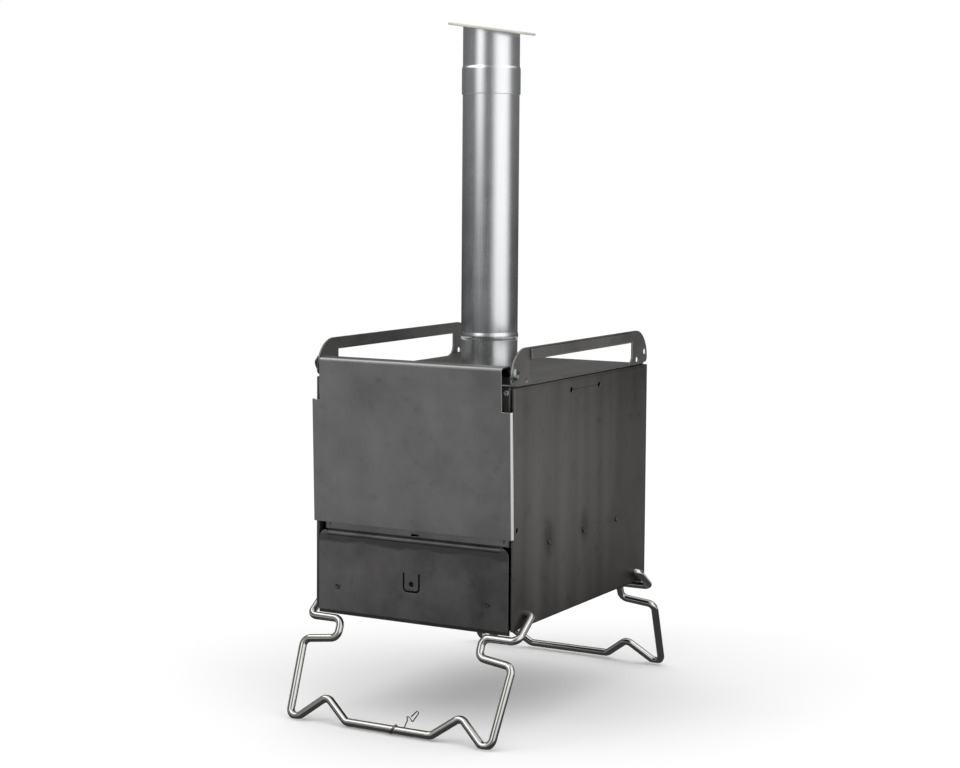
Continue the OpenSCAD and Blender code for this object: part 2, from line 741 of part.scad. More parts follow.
module frame_nuts() {
  y = -frame_y + sheet + cover_sheet;
  color("silver") mirrored() difference() {
    translate([screw_x, y, screw_z]) rotate([-90, 180 / 6, 0])
      cylinder(h = frame_nut_h, d = frame_nut_w / cos(180 / 6), $fn = 6);
    deep(screw_x, y - over, y + frame_nut_h + over, screw_z,
      frame_screw_d + fastener_gap * 2);
  }
}

module hinge_rod() {
  color("black") cross(-ear_x - cap_grip, ear_x + cap_grip, -hinge_y, hinge_z, hinge_rod_d);
}

// Domed caps pressed on the rod's ends, rims against the ears
module hinge_caps() {
  ball = (cap_d * cap_d / 4 + cap_h * cap_h) / cap_h / 2;
  color("silver") mirrored() translate([ear_x, -hinge_y, hinge_z]) rotate([0, 90, 0])
    rotate_extrude() difference() {
      intersection() {
        translate([0, cap_h - ball]) circle(ball);
        square([cap_d, cap_h * 2]);
      }
      translate([-over, -over])
        square([hinge_rod_d / 2 + rod_seat_gap + over, cap_grip + over + rod_seat_gap]);
    }
}

// The door hangs from the rod, leaning until its returns rest against the hems
module hung() {
  translate([0, -hinge_y, hinge_z]) rotate([door_lean, 0, 0]) children();
}

// Door: a channel folded along the top, a flat face and side returns below the ears
module fire_door() {
  mid = door_fold_r - sheet / 2;
  front = -door_front + sheet / 2;
  top = door_top - sheet / 2;
  rear = door_rear - sheet / 2;
  x = door_x - sheet / 2;
  color("gray") hung() {
    along_x(-door_top_x, door_top_x)
      folded([[rear, -door_flange], [rear, top], [front, top], [front, -door_shoulder]],
        sheet, mid);
    translate([0, 0, -door_foot]) linear_extrude(door_foot - door_shoulder)
      folded([[-x, -door_front + door_return], [-x, front], [x, front],
        [x, -door_front + door_return]], sheet, door_side_r - sheet / 2);
  }
}

// Tube in the door's channel that turns on the rod
module hinge_sleeve() {
  l = door_top_x - sleeve_end_gap;
  color("steelblue") hung() difference() {
    cross(-l, l, 0, 0, sleeve_od);
    cross(-l - over, l + over, 0, 0, hinge_rod_d + hinge_run * 2);
  }
}

// Drawer face with rounded top corners, a curved lip and a lanced pull tab
module ash_drawer_front() {
  top = drawer_h - drawer_drop;
  lip_x = drawer_x - drawer_r;
  y = -drawer_y - sheet / 2;
  color("dimgray") difference() {
    union() {
      along_y(-drawer_y - sheet, -drawer_y) difference() {
        translate([-drawer_x, -drawer_drop]) square([drawer_x * 2, drawer_h]);
        for (side = [-1, 1]) scale([side, 1])
          translate([lip_x, top - drawer_r]) corner(drawer_r);
        translate([-lip_x, top - drawer_lip_r]) square([lip_x * 2, drawer_r]);
      }
      along_x(-lip_x, lip_x)
        folded([[y, top - drawer_lip_r * 2], [y, top - sheet / 2],
          [drawer_lip_d - drawer_y, top - sheet / 2]], sheet, drawer_lip_r - sheet / 2);
    }
    along_y(-drawer_y - sheet - over, over - drawer_y) {
      difference() {
        translate([-tab_w / 2 - tab_slot / 2, tab_up - tab_slot / 2])
          square([tab_w + tab_slot, tab_h]);
        translate([-tab_w / 2 + tab_slot / 2, tab_up + tab_slot / 2])
          square([tab_w - tab_slot, tab_h]);
      }
      translate([0, tab_up + tab_hole_up]) circle(d = tab_hole_d);
    }
    mirrored() deep(drawer_rivet_x, -drawer_y - sheet - over, over - drawer_y,
      drawer_rivet_up, rivet_d + fastener_gap * 2);
  }
}

// Open box that catches the ash, riveted behind the face
module ash_drawer_tray() {
  color("slategray") difference() {
    translate([-tray_x, -drawer_y, tray_z]) cube([tray_x * 2, tray_l, tray_h]);
    translate([tray_sheet - tray_x, tray_sheet - drawer_y, tray_z + tray_sheet])
      cube([(tray_x - tray_sheet) * 2, tray_l - tray_sheet * 2, tray_h]);
    mirrored() deep(drawer_rivet_x, -drawer_y - over, over - drawer_y + tray_sheet,
      drawer_rivet_up, rivet_d + fastener_gap * 2);
  }
}

module drawer_rivets() {
  color("silver") mirrored()
    translate([drawer_rivet_x, -drawer_y - sheet, drawer_rivet_up])
      rivet(sheet + tray_sheet);
}

// Angle riveted inside the side panel, its ledge under the grate
module right_rail() {
  mid = fold_r - sheet / 2;
  x = web_in - sheet / 2;
  z = rail_up - sheet / 2;
  difference() {
    along_y(-rail_y0, rail_l - rail_y0)
      folded([[x, rail_up - rail_h], [x, z], [web_in - rail_w, z]], sheet, mid);
    for (i = [-1, 0, 1]) cross(web_in - sheet - over, web_in + over, i * rail_rivet_step,
      rail_up - rail_rivet_drop, rivet_d + fastener_gap * 2);
  }
}

module right_grate_rail() {
  color("peru") right_rail();
}

module left_grate_rail() {
  color("peru") mirror([1, 0, 0]) right_rail();
}

module grate_rail_rivets() {
  color("silver") mirrored() for (i = [-1, 0, 1])
    translate([half_w, i * rail_rivet_step, rail_up - rail_rivet_drop])
      rotate([0, 0, 90]) rivet(sheet * 2);
}

// Slotted plate that carries the fire, loose on its rails
module fire_grate() {
  x = frame_x - sheet - grate_gap;
  y0 = -frame_y + sheet + cover_fold_r;
  y1 = rail_l - rail_y0 - over;
  row = (y1 - y0) / grate_rows;
  color("sienna") difference() {
    translate([-x, y0, rail_up]) cube([x * 2, y1 - y0, grate_t]);
    for (i = [0 : grate_cols - 1], j = [0 : grate_rows - 1])
      translate([(i - (grate_cols - 1) / 2) * grate_pitch - grate_slot_w / 2,
        y0 + (j + 1 / 2) * row - grate_slot_l / 2, rail_up - over])
        cube([grate_slot_w, grate_slot_l, grate_t + over * 2]);
  }
}

module on_flue(z) {
  translate([0, pipe_back, z]) children();
}

// Spigot through the top plate, its flange welded under the plate
module flue_collar() {
  color("steelblue") on_flue(panel_h) rotate_extrude() {
    translate([spigot_r - spigot_wall, -sheet])
      square([spigot_wall, sheet + cover_sheet + collar_h]);
    translate([spigot_r - spigot_wall, -sheet])
      square([spigot_wall + collar_flange, sheet]);
  }
}

// A bead rolled in a pipe's wall, seen in half section
module bead(z) {
  ball = (bead_w * bead_w / 4 + bead_out * bead_out) / bead_out / 2;
  r = pipe_d / 2;
  intersection() {
    translate([r + bead_out - ball, z]) circle(ball);
    translate([r - pipe_wall, z - bead_w / 2]) square([pipe_wall + bead_out, bead_w]);
  }
}

module lower_flue_pipe() {
  r = pipe_d / 2;
  color("lightsteelblue") on_flue(plate_z) rotate_extrude() {
    translate([r - pipe_wall, 0]) square([pipe_wall, lower_l]);
    bead(bead_up + bead_w / 2);
  }
}

// Everything under the pipe's slanted top
module under_slant(z, size) {
  intersection() {
    children();
    on_flue(z) rotate([0, top_slant, 0]) translate([-size, -size, -size * 2])
      cube([size * 2, size * 2, size * 2]);
  }
}

module upper_flue_pipe() {
  r = pipe_d / 2;
  s = r + socket_gap;
  color("lightsteelblue") under_slant(top_z, disc_d) on_flue(socket_z) rotate_extrude() {
    translate([s, 0]) square([pipe_wall, socket_l]);
    translate([r - pipe_wall, socket_l]) square([s - r + pipe_wall * 2, pipe_wall]);
    translate([s, socket_l]) square([pipe_wall, shoulder_l]);
    translate([r - pipe_wall, socket_l + shoulder_l - pipe_wall])
      square([s - r + pipe_wall * 2, pipe_wall]);
    translate([r - pipe_wall, socket_l])
      square([pipe_wall, shoulder_l + upper_l + r]);
  }
}

// Slanted disc that lies on the pipe's top, with an upright spigot inside the pipe
module flue_cap() {
  color("wheat") {
    on_flue(top_z) rotate([0, top_slant, 0]) cylinder(h = disc_t, d = disc_d);
    under_slant(top_z + disc_t / 2, disc_d) on_flue(top_z - cap_spigot_l)
      difference() {
        cylinder(h = cap_spigot_l * 2, r = spigot_r);
        translate([0, 0, -over]) cylinder(h = cap_spigot_l * 2 + over * 2,
          r = spigot_r - spigot_wall);
      }
  }
}

// A place in the leg's leaning frame, as a place in the stove
function leg_point(p) = [p[0], -half_d - run_out - p[1] * sin(leg_lean),
  -run_drop - p[1] * cos(leg_lean)];

// Leg wire: pivot, arm, stop run, C bend, shoulder, foot, hump and cross bar, then mirrored
leg_half = concat(
  [[half_w - leg_end_in, pivot_in - half_d, pivot_up], [arm_x, pivot_in - half_d, pivot_up],
    leg_point([arm_x, 0])],
  [for (p = leg_corners) leg_point(p)]);
leg_path = concat(leg_half,
  [for (i = [len(leg_half) - 1 : -1 : 0])
    [-leg_half[i][0], leg_half[i][1], leg_half[i][2]]]);

leg_bends = [for (p = leg_path) abs(p[1]) < half_d ? pivot_bend : leg_bend];

module front_leg() {
  color("lightgray") wire(leg_path, leg_d, leg_bends);
}

module rear_leg() {
  color("lightgray") mirror([0, 1, 0]) wire(leg_path, leg_d, leg_bends);
}

// Thin wire: a ring round the front leg's cross bar, a twisted stem and a long hook
module leg_keeper() {
  ring_r = (leg_d / 2 + keeper_gap + keeper_d / 2) / cos(keeper_tilt);
  corners = [for (s = keeper_shares)
    [s[0] * keeper_w, ring_r + s[2] * keeper_d, s[1] * keeper_h]];
  color("goldenrod") translate(leg_point([keeper_x, bar_s])) {
    rotate([0, 90 + keeper_tilt, 0]) rotate_extrude() translate([ring_r, 0])
      circle(d = keeper_d + keeper_knuckle);
    wire(corners, keeper_d, [for (c = corners) keeper_bend]);
  }
}

// Raised until the feet stand on the floor
module raised() {
  translate([0, 0, body_up]) children();
}

raised() right_side_panel();
raised() left_side_panel();
raised() bottom_plate();
raised() back_panel();
raised() back_panel_rivets();
raised() top_cover();
raised() front_frame();
raised() frame_screws();
raised() frame_nuts();
raised() hinge_rod();
raised() hinge_caps();
raised() fire_door();
raised() hinge_sleeve();
raised() ash_drawer_front();
raised() ash_drawer_tray();
raised() drawer_rivets();
raised() left_grate_rail();
raised() right_grate_rail();
raised() grate_rail_rivets();
raised() fire_grate();
raised() flue_collar();
raised() lower_flue_pipe();
raised() upper_flue_pipe();
raised() flue_cap();
raised() front_leg();
raised() rear_leg();
raised() leg_keeper();
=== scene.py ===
import math

import bmesh
import bpy
import numpy as np
from mathutils import Matrix, Vector


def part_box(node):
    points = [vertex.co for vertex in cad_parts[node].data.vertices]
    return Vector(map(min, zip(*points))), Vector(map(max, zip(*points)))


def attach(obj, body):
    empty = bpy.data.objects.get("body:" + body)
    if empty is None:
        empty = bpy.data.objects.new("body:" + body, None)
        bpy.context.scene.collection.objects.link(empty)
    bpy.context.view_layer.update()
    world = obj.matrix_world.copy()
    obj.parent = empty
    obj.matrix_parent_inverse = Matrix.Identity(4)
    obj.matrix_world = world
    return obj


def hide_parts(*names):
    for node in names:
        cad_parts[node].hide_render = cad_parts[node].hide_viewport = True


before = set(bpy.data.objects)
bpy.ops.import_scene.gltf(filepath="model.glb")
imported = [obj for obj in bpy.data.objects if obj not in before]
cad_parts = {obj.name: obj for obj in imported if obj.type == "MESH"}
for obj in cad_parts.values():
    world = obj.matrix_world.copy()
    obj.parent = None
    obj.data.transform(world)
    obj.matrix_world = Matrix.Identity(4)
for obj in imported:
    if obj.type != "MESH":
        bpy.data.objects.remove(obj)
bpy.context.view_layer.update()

# The studio
# A white table and backdrop with soft light from both sides. The camera stands where the
# photographer stood. Places are in metres and turns in degrees.

CAMERA_PLACE = (1.0304, -1.8791, 0.5537)
CAMERA_TURN = 28.981
CAMERA_TILT = 4.054
CAMERA_ROLL = 0.416
SENSOR = 36.0
LENS_IN_PIXELS = 2027.4
PICTURE_WIDTH = 960
CAMERA_SHIFT = -0.07
NEAREST_SEEN, FARTHEST_SEEN = 0.05, 60.0


def camera_axes(turn, tilt, roll):
    """Right, up and back of a camera that looks along +Y, turned left, tilted down and rolled."""
    turn, tilt, roll = np.radians([turn, tilt, roll])
    ahead = np.array([-np.sin(turn) * np.cos(tilt), np.cos(turn) * np.cos(tilt), -np.sin(tilt)])
    right = np.array([np.cos(turn), np.sin(turn), 0.0])
    up = np.cross(right, ahead)
    rolled = np.cos(roll) * right + np.sin(roll) * up
    return np.stack([rolled, np.cross(-ahead, rolled), -ahead], axis=1)


lens = bpy.data.cameras.new("photo_camera")
lens.sensor_width = SENSOR
lens.lens = LENS_IN_PIXELS / PICTURE_WIDTH * SENSOR
lens.shift_y = CAMERA_SHIFT
lens.clip_start, lens.clip_end = NEAREST_SEEN, FARTHEST_SEEN
camera = bpy.data.objects.new("photo_camera", lens)
axes = camera_axes(CAMERA_TURN, CAMERA_TILT, CAMERA_ROLL)
camera.matrix_world = Matrix.Translation(CAMERA_PLACE) @ Matrix(axes.tolist()).to_4x4()
bpy.context.scene.collection.objects.link(camera)
bpy.context.scene.camera = camera
bpy.context.scene.view_settings.view_transform = "Standard"


def linear(code):
    """An sRGB hex colour as linear RGBA, by the sRGB curve."""
    c = np.array([int(code[i:i + 2], 16) for i in (1, 3, 5)]) / 255
    c = np.where(c <= 0.04045, c / 12.92, ((c + 0.055) / 1.055) ** 2.4)
    return (*c.tolist(), 1.0)


def put(tree, kind, sockets=None, **settings):
    """Adds one node: settings are its properties, sockets its inputs by name or number. An input
    takes a value, another node's output, or a node, whose first output it then takes."""
    node = tree.nodes.new(kind)
    for key, value in settings.items():
        setattr(node, key, value)
    for key, value in (sockets or {}).items():
        if isinstance(value, bpy.types.Node):
            value = value.outputs[0]
        if isinstance(value, bpy.types.NodeSocket):
            tree.links.new(value, node.inputs[key])
        else:
            node.inputs[key].default_value = value
    return node


def new_tree(name):
    """An empty material and its node tree."""
    material = bpy.data.materials.new(name)
    material.use_nodes = True
    material.node_tree.nodes.clear()
    return material, material.node_tree


# The backdrop is white where the camera and polished metal see it, and lights the rest as set here
WORLD_FILL = 1.03

world = bpy.data.worlds.new("white_backdrop")
world.use_nodes = True
tree = world.node_tree
tree.nodes.clear()
path = put(tree, "ShaderNodeLightPath").outputs
seen = put(tree, "ShaderNodeMath", {0: path["Is Camera Ray"], 1: path["Is Glossy Ray"]},
           operation="MAXIMUM")
seen = put(tree, "ShaderNodeMath", {0: seen, 1: path["Is Transmission Ray"]},
           operation="MAXIMUM")
fill = put(tree, "ShaderNodeBackground", {"Color": linear("#ffffff"), "Strength": WORLD_FILL})
white = put(tree, "ShaderNodeBackground", {"Color": linear("#ffffff"), "Strength": 1.0})
both = put(tree, "ShaderNodeMixShader", {0: seen, 1: fill, 2: white})
put(tree, "ShaderNodeOutputWorld", {"Surface": both})
bpy.context.scene.world = world


def grid_faces(rows, columns, close_rows=False, close_columns=False):
    """Quads of a grid of points counted row by row, wrapped round where it closes."""
    r = np.arange(rows if close_rows else rows - 1)[:, None]
    c = np.arange(columns if close_columns else columns - 1)[None, :]
    r1, c1 = (r + 1) % rows, (c + 1) % columns
    corners = [r * columns + c, r * columns + c1, r1 * columns + c1, r1 * columns + c]
    return np.stack(np.broadcast_arrays(*corners), axis=-1).reshape(-1, 4)


def made(name, points, faces, material):
    """A mesh object from arrays of points and faces, with its material."""
    mesh = bpy.data.meshes.new(name)
    mesh.from_pydata(points.reshape(-1, 3).tolist(), [], faces.tolist())
    mesh.materials.append(material)
    piece = bpy.data.objects.new(name, mesh)
    bpy.context.scene.collection.objects.link(piece)
    return piece


FLOOR_HALF, FLOOR_STEPS = 12.0, 9

# Matt white table: it keeps the stove's shadow, and polished metal sees it as white
floor_white, tree = new_tree("white_table")
path = put(tree, "ShaderNodeLightPath").outputs
matt = put(tree, "ShaderNodeBsdfDiffuse", {"Color": linear("#fdfdfd")})
glow = put(tree, "ShaderNodeEmission", {"Color": linear("#ffffff"), "Strength": 1.0})
mirrored = put(tree, "ShaderNodeMath", {0: path["Is Glossy Ray"], 1: path["Is Transmission Ray"]},
               operation="MAXIMUM")
both = put(tree, "ShaderNodeMixShader", {0: mirrored, 1: matt, 2: glow})
put(tree, "ShaderNodeOutputMaterial", {"Surface": both})
side = np.linspace(-FLOOR_HALF, FLOOR_HALF, FLOOR_STEPS)
u, v = np.meshgrid(side, side)
floor = made("table", np.stack([u, v, np.zeros_like(u)], -1),
             grid_faces(FLOOR_STEPS, FLOOR_STEPS), floor_white)

# The reflected room
# What polished metal shows of a photo studio: soft boxes at the left and right, low and high, grey
# between them where the camera stands, dark behind the stove and on the table close to it. It is
# one card bent round the stove, seen only in reflections.

ROOM_RADIUS, ROOM_HEIGHT, WALL_FOOT = 1.4, 2.2, 0.03
TABLE_RADII = [0.01, 0.2, 0.3, 0.42, 0.55, 0.7, 0.9, 1.15]
CARD_UP = 0.002
CARD_BEND = (1.35, 0.01)
CARD_RISES, CARD_STEP = 56, 3.0

# Each soft box: its brightness, the bearing of its middle from the camera's, its half width and
# soft edge in degrees, then the height of its foot and the height over which it comes up to full.
# The right one reaches down past the table
LEFT_BOX = (1.65, -45, 2, 26, 0.34, 0.50)
RIGHT_BOX = (1.34, 45, 14, 36, -0.50, 0.30)
HIGH_BOXES = [(2.2, -85, 30, 20, 1.15, 0.30), (1.2, 95, 20, 30, 1.15, 0.30)]

FRONT_GREY, BACK_GREY, BACK_BEARING, BACK_SOFT = 0.28, 0.20, 140, 60
GREY_AT_FOOT, GREY_FROM, GREY_RISE = 0.3, 0.3, 0.4
LOW_WALL, LOW_WALL_TOP, LOW_WALL_SOFT, RIGHT_BOX_ON_LOW_WALL = 0.72, 0.10, 0.16, 0.6
NEAR_TABLE, FAR_TABLE, NEAR_RADIUS, NEAR_SOFT = 0.07, 0.72, 0.45, 0.5


def smooth_step(x):
    """0 below 0, 1 above 1, and 3x^2 - 2x^3 between."""
    x = np.clip(x, 0, 1)
    return x * x * (3 - 2 * x)


def soft_box(box, bearing, height):
    """Brightness times a smooth fall from 1 to 0 over the soft edge beyond the half width, times a
    smooth rise from 0 to 1 above the foot."""
    bright, middle, half, soft, foot, rise = box
    across = smooth_step((half + soft - np.abs(bearing - middle)) / soft)
    return bright * across * smooth_step((height - foot) / rise)


def room_light(bearing, radius, height):
    """Brightness of the room: the boxes added to a grey that darkens behind the stove, with a
    plain low wall and a table that is dark near the stove."""
    grey = BACK_GREY + (FRONT_GREY - BACK_GREY) * smooth_step(
        (BACK_BEARING - np.abs(bearing)) / BACK_SOFT)
    grey = grey * (GREY_AT_FOOT + (1 - GREY_AT_FOOT) * smooth_step(
        (height - GREY_FROM) / GREY_RISE))
    right = soft_box(RIGHT_BOX, bearing, height)
    upper = grey + right + sum(soft_box(box, bearing, height) for box in [LEFT_BOX, *HIGH_BOXES])
    low = np.maximum(LOW_WALL, RIGHT_BOX_ON_LOW_WALL * right)
    wall = low + (upper - low) * smooth_step((height - LOW_WALL_TOP) / LOW_WALL_SOFT)
    table = NEAR_TABLE + (FAR_TABLE - NEAR_TABLE) * smooth_step((radius - NEAR_RADIUS) / NEAR_SOFT)
    return np.where(radius < ROOM_RADIUS, table, wall)


rise = np.linspace(WALL_FOOT, ROOM_HEIGHT, CARD_RISES)
profile = np.vstack([[(radius, CARD_UP) for radius in TABLE_RADII], [CARD_BEND],
                     np.stack([np.full_like(rise, ROOM_RADIUS), rise], -1)])
bearing = np.arange(-180, 180, CARD_STEP)[None, :]
turn = np.radians(CAMERA_TURN + bearing)
radius, height = profile[:, :1], profile[:, 1:]
points = np.stack(np.broadcast_arrays(radius * np.sin(turn), -radius * np.cos(turn), height), -1)
room_card, tree = new_tree("reflected_room")
light = put(tree, "ShaderNodeAttribute", attribute_name="light")
glow = put(tree, "ShaderNodeEmission", {"Color": linear("#ffffff"),
                                        "Strength": light.outputs["Fac"]})
put(tree, "ShaderNodeOutputMaterial", {"Surface": glow})
room = made("reflected_room", points, grid_faces(*points.shape[:2], False, True), room_card)
values = room.data.attributes.new("light", "FLOAT", "POINT")
brightness = room_light(*np.broadcast_arrays(bearing, radius, height))
values.data.foreach_set("value", brightness.astype(np.float32).ravel())
room.visible_camera = room.visible_diffuse = room.visible_shadow = False
room.visible_transmission = False


def lamp(name, place, aim, size, watts):
    """A square soft lamp at a place, turned to face what it is aimed at."""
    light = bpy.data.lights.new(name, "AREA")
    light.shape, light.size, light.energy = "SQUARE", size, watts
    turned_to = (Vector(aim) - Vector(place)).to_track_quat("-Z", "Y").to_matrix().to_4x4()
    holder = bpy.data.objects.new(name, light)
    holder.matrix_world = Matrix.Translation(place) @ turned_to
    holder.visible_glossy = False
    bpy.context.scene.collection.objects.link(holder)


STOVE_MIDDLE = (0.0, 0.0, 0.25)
lamp("left_lamp", (-1.6, -2.2, 1.9), STOVE_MIDDLE, 1.6, 14)
lamp("right_lamp", (2.4, -0.4, 1.5), STOVE_MIDDLE, 1.6, 6)

# The body's sheets
# Side panels, back, floor, inner frame and top cover are cut and bent from cold-rolled steel and
# screwed and riveted together. They keep the steel's dark oiled skin, which is satin, smeared
# along the rolling direction and wiped clean on cut edges, whose pale colour also paints their
# highlights. Some also carry painted shade.

panel_low, panel_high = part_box("right_side_panel")
BODY_UP, BODY_HALF, BODY_END = panel_low.z, panel_high.x, panel_high.y
RAIL_RIVET_STEP, RAIL_RIVET_Z = 0.079, BODY_UP + 0.0776
SMEAR_WIDTH, SMEAR_LENGTH = 0.030, 0.7
STREAK_WIDTH, STREAK_SHARE = 0.006, 0.08
CLOUD_SIZE, BLOTCH_SIZE = 0.045, 0.018
# The clouds' noise lies between these two values
CLOUD_LOW, CLOUD_HIGH = 0.3, 0.7
# Rolling grain is finer than a pixel, so it is drawn 0.9 mm wide to show at all
GRAIN_WIDTH, GRAIN_LENGTH, GRAIN_DEPTH = 0.0009, 0.03, 0.00006
# Radius of the edges' rounded normals and width of their pale edge colour, which is partly wear and
# partly painted highlight
EDGE_WEAR_AND_HIGHLIGHT = 0.0009
# Soot spots are taller than wide, and their rim and the edge of the band of painted shade wander
# with the clouds
SPOT_SQUEEZE, SPOT_WANDER = 0.6, 0.2
SHADE_BAND_WANDER, SHADE_BAND_SOFT_FOOT, SHADE_BAND_SOFT_TOP = 0.004, 0.0015, 0.0012
# Soft edge of the door's painted highlight strip, and the share of the painted highlight line's
# width that is at full strength
HIGHLIGHT_STRIP_SOFT, HIGHLIGHT_LINE_CORE = 0.0004, 0.3


def along(direction, across, length):
    """Scale of a pattern that is narrow across the direction and long along it."""
    return tuple(1 / length if axis == direction else 1 / across for axis in "XYZ")


def rolled_skin(tree, where, clouds, direction, smear, spread, blotches):
    """Tone of the skin, 0 dark to 1 pale: smears and fine streaks along the rolling direction
    mixed with clouds, stretched from the spread below a half to the spread above it, less the
    blotches. The wider the spread, the fainter the pattern."""
    placed = put(tree, "ShaderNodeMapping", {
        "Vector": where, "Scale": along(direction, SMEAR_WIDTH, SMEAR_LENGTH)})
    smears = put(tree, "ShaderNodeTexNoise", {"Vector": placed, "Scale": 1.0, "Detail": 1.0})
    placed = put(tree, "ShaderNodeMapping", {
        "Vector": where, "Scale": along(direction, STREAK_WIDTH, SMEAR_LENGTH)})
    streaks = put(tree, "ShaderNodeTexNoise", {"Vector": placed, "Scale": 1.0, "Detail": 3.0})
    lines = put(tree, "ShaderNodeMix", {"Factor": STREAK_SHARE, 2: smears, 3: streaks},
                data_type="FLOAT")
    blend = put(tree, "ShaderNodeMix", {"Factor": smear, 2: clouds, 3: lines},
                data_type="FLOAT")
    tone = put(tree, "ShaderNodeMapRange", {
        "Value": blend, "From Min": 0.5 - spread, "From Max": 0.5 + spread})
    blotch = put(tree, "ShaderNodeTexNoise", {
        "Vector": where, "Scale": 1 / BLOTCH_SIZE, "Detail": 4.0, "Roughness": 0.65})
    marks = put(tree, "ShaderNodeMapRange", {
        "Value": blotch, "From Min": 0.56, "From Max": 0.70, "To Max": blotches})
    return put(tree, "ShaderNodeMath", {0: tone, 1: marks}, operation="SUBTRACT")


def darkened(tree, where, clouds, tone, fade, spots, band):
    """Tone less painted shade and soot, kept from 0 to 1: a ramp of painted shade along an axis
    for each fade, a smooth fall of soot from its middle for each spot, and a band of painted shade
    between two heights."""
    split = put(tree, "ShaderNodeSeparateXYZ", {0: where}).outputs
    for axis, start, end, amount in fade:
        less = put(tree, "ShaderNodeMapRange", {
            "Value": split[axis], "From Min": start, "From Max": end, "To Max": amount})
        tone = put(tree, "ShaderNodeMath", {0: tone, 1: less}, operation="SUBTRACT")
    for (x, y, z), size, depth in spots:
        squeezed = put(tree, "ShaderNodeMapping", {"Vector": where, "Scale": (1, 1, SPOT_SQUEEZE)})
        away = put(tree, "ShaderNodeVectorMath", {0: squeezed, 1: (x, y, z * SPOT_SQUEEZE)},
                   operation="DISTANCE")
        wander = put(tree, "ShaderNodeMapRange", {
            "Value": clouds, "From Min": CLOUD_LOW, "From Max": CLOUD_HIGH,
            "To Min": -size * SPOT_WANDER, "To Max": size * SPOT_WANDER})
        wavy = put(tree, "ShaderNodeMath", {0: away.outputs["Value"], 1: wander}, operation="ADD")
        less = put(tree, "ShaderNodeMapRange", {
            "Value": wavy, "From Max": size, "To Min": depth, "To Max": 0.0},
            interpolation_type="SMOOTHSTEP")
        tone = put(tree, "ShaderNodeMath", {0: tone, 1: less}, operation="SUBTRACT")
    if band:
        foot, top, amount = band
        wander = put(tree, "ShaderNodeMapRange", {
            "Value": clouds, "From Min": CLOUD_LOW, "From Max": CLOUD_HIGH,
            "To Min": -SHADE_BAND_WANDER, "To Max": SHADE_BAND_WANDER})
        wavy = put(tree, "ShaderNodeMath", {0: split["Z"], 1: wander}, operation="ADD")
        above = put(tree, "ShaderNodeMapRange", {
            "Value": wavy, "From Min": foot - SHADE_BAND_SOFT_FOOT, "From Max": foot + SHADE_BAND_SOFT_FOOT})
        below = put(tree, "ShaderNodeMapRange", {
            "Value": split["Z"], "From Min": top + SHADE_BAND_SOFT_TOP,
            "From Max": top - SHADE_BAND_SOFT_TOP, "To Max": amount})
        less = put(tree, "ShaderNodeMath", {0: above, 1: below}, operation="MULTIPLY")
        tone = put(tree, "ShaderNodeMath", {0: tone, 1: less}, operation="SUBTRACT")
    return put(tree, "ShaderNodeClamp", {0: tone})


def wear_and_highlights(tree, where, rounded, edge, strip, line):
    """Share of the worn colour, 0 to 1, the greatest of three: on edges, in patches, where the
    rounded normal turns away from the face's own, as bare metal that also paints the edges'
    highlights; a painted highlight beyond a distance from the middle; a painted highlight along a
    fold."""
    face = put(tree, "ShaderNodeNewGeometry")
    match = put(tree, "ShaderNodeVectorMath", {0: rounded, 1: face.outputs["True Normal"]},
                operation="DOT_PRODUCT")
    edges = put(tree, "ShaderNodeMapRange", {
        "Value": match.outputs["Value"], "From Min": 0.97, "From Max": 0.80, "To Max": edge * 0.8})
    patches = put(tree, "ShaderNodeTexNoise", {
        "Vector": where, "Scale": 1 / BLOTCH_SIZE, "Detail": 3.0})
    patchy = put(tree, "ShaderNodeMapRange", {
        "Value": patches, "From Min": 0.35, "From Max": 0.6, "To Min": 0.35})
    bare_and_lit = put(tree, "ShaderNodeMath", {0: edges, 1: patchy}, operation="MULTIPLY")
    if strip:
        half, share = strip
        split = put(tree, "ShaderNodeSeparateXYZ", {0: where})
        out = put(tree, "ShaderNodeMath", {0: split.outputs["X"]}, operation="ABSOLUTE")
        sides = put(tree, "ShaderNodeMapRange", {
            "Value": out, "From Min": half - HIGHLIGHT_STRIP_SOFT, "From Max": half + HIGHLIGHT_STRIP_SOFT,
            "To Max": share})
        bare_and_lit = put(tree, "ShaderNodeMath", {0: bare_and_lit, 1: sides}, operation="MAXIMUM")
    if line:
        y, z, width, share = line
        end_on = put(tree, "ShaderNodeMapping", {"Vector": where, "Scale": (0, 1, 1)})
        away = put(tree, "ShaderNodeVectorMath", {0: end_on, 1: (0, y, z)}, operation="DISTANCE")
        fold = put(tree, "ShaderNodeMapRange", {
            "Value": away.outputs["Value"], "From Min": width, "From Max": width * HIGHLIGHT_LINE_CORE,
            "To Max": share})
        bare_and_lit = put(tree, "ShaderNodeMath", {0: bare_and_lit, 1: fold}, operation="MAXIMUM")
    return bare_and_lit


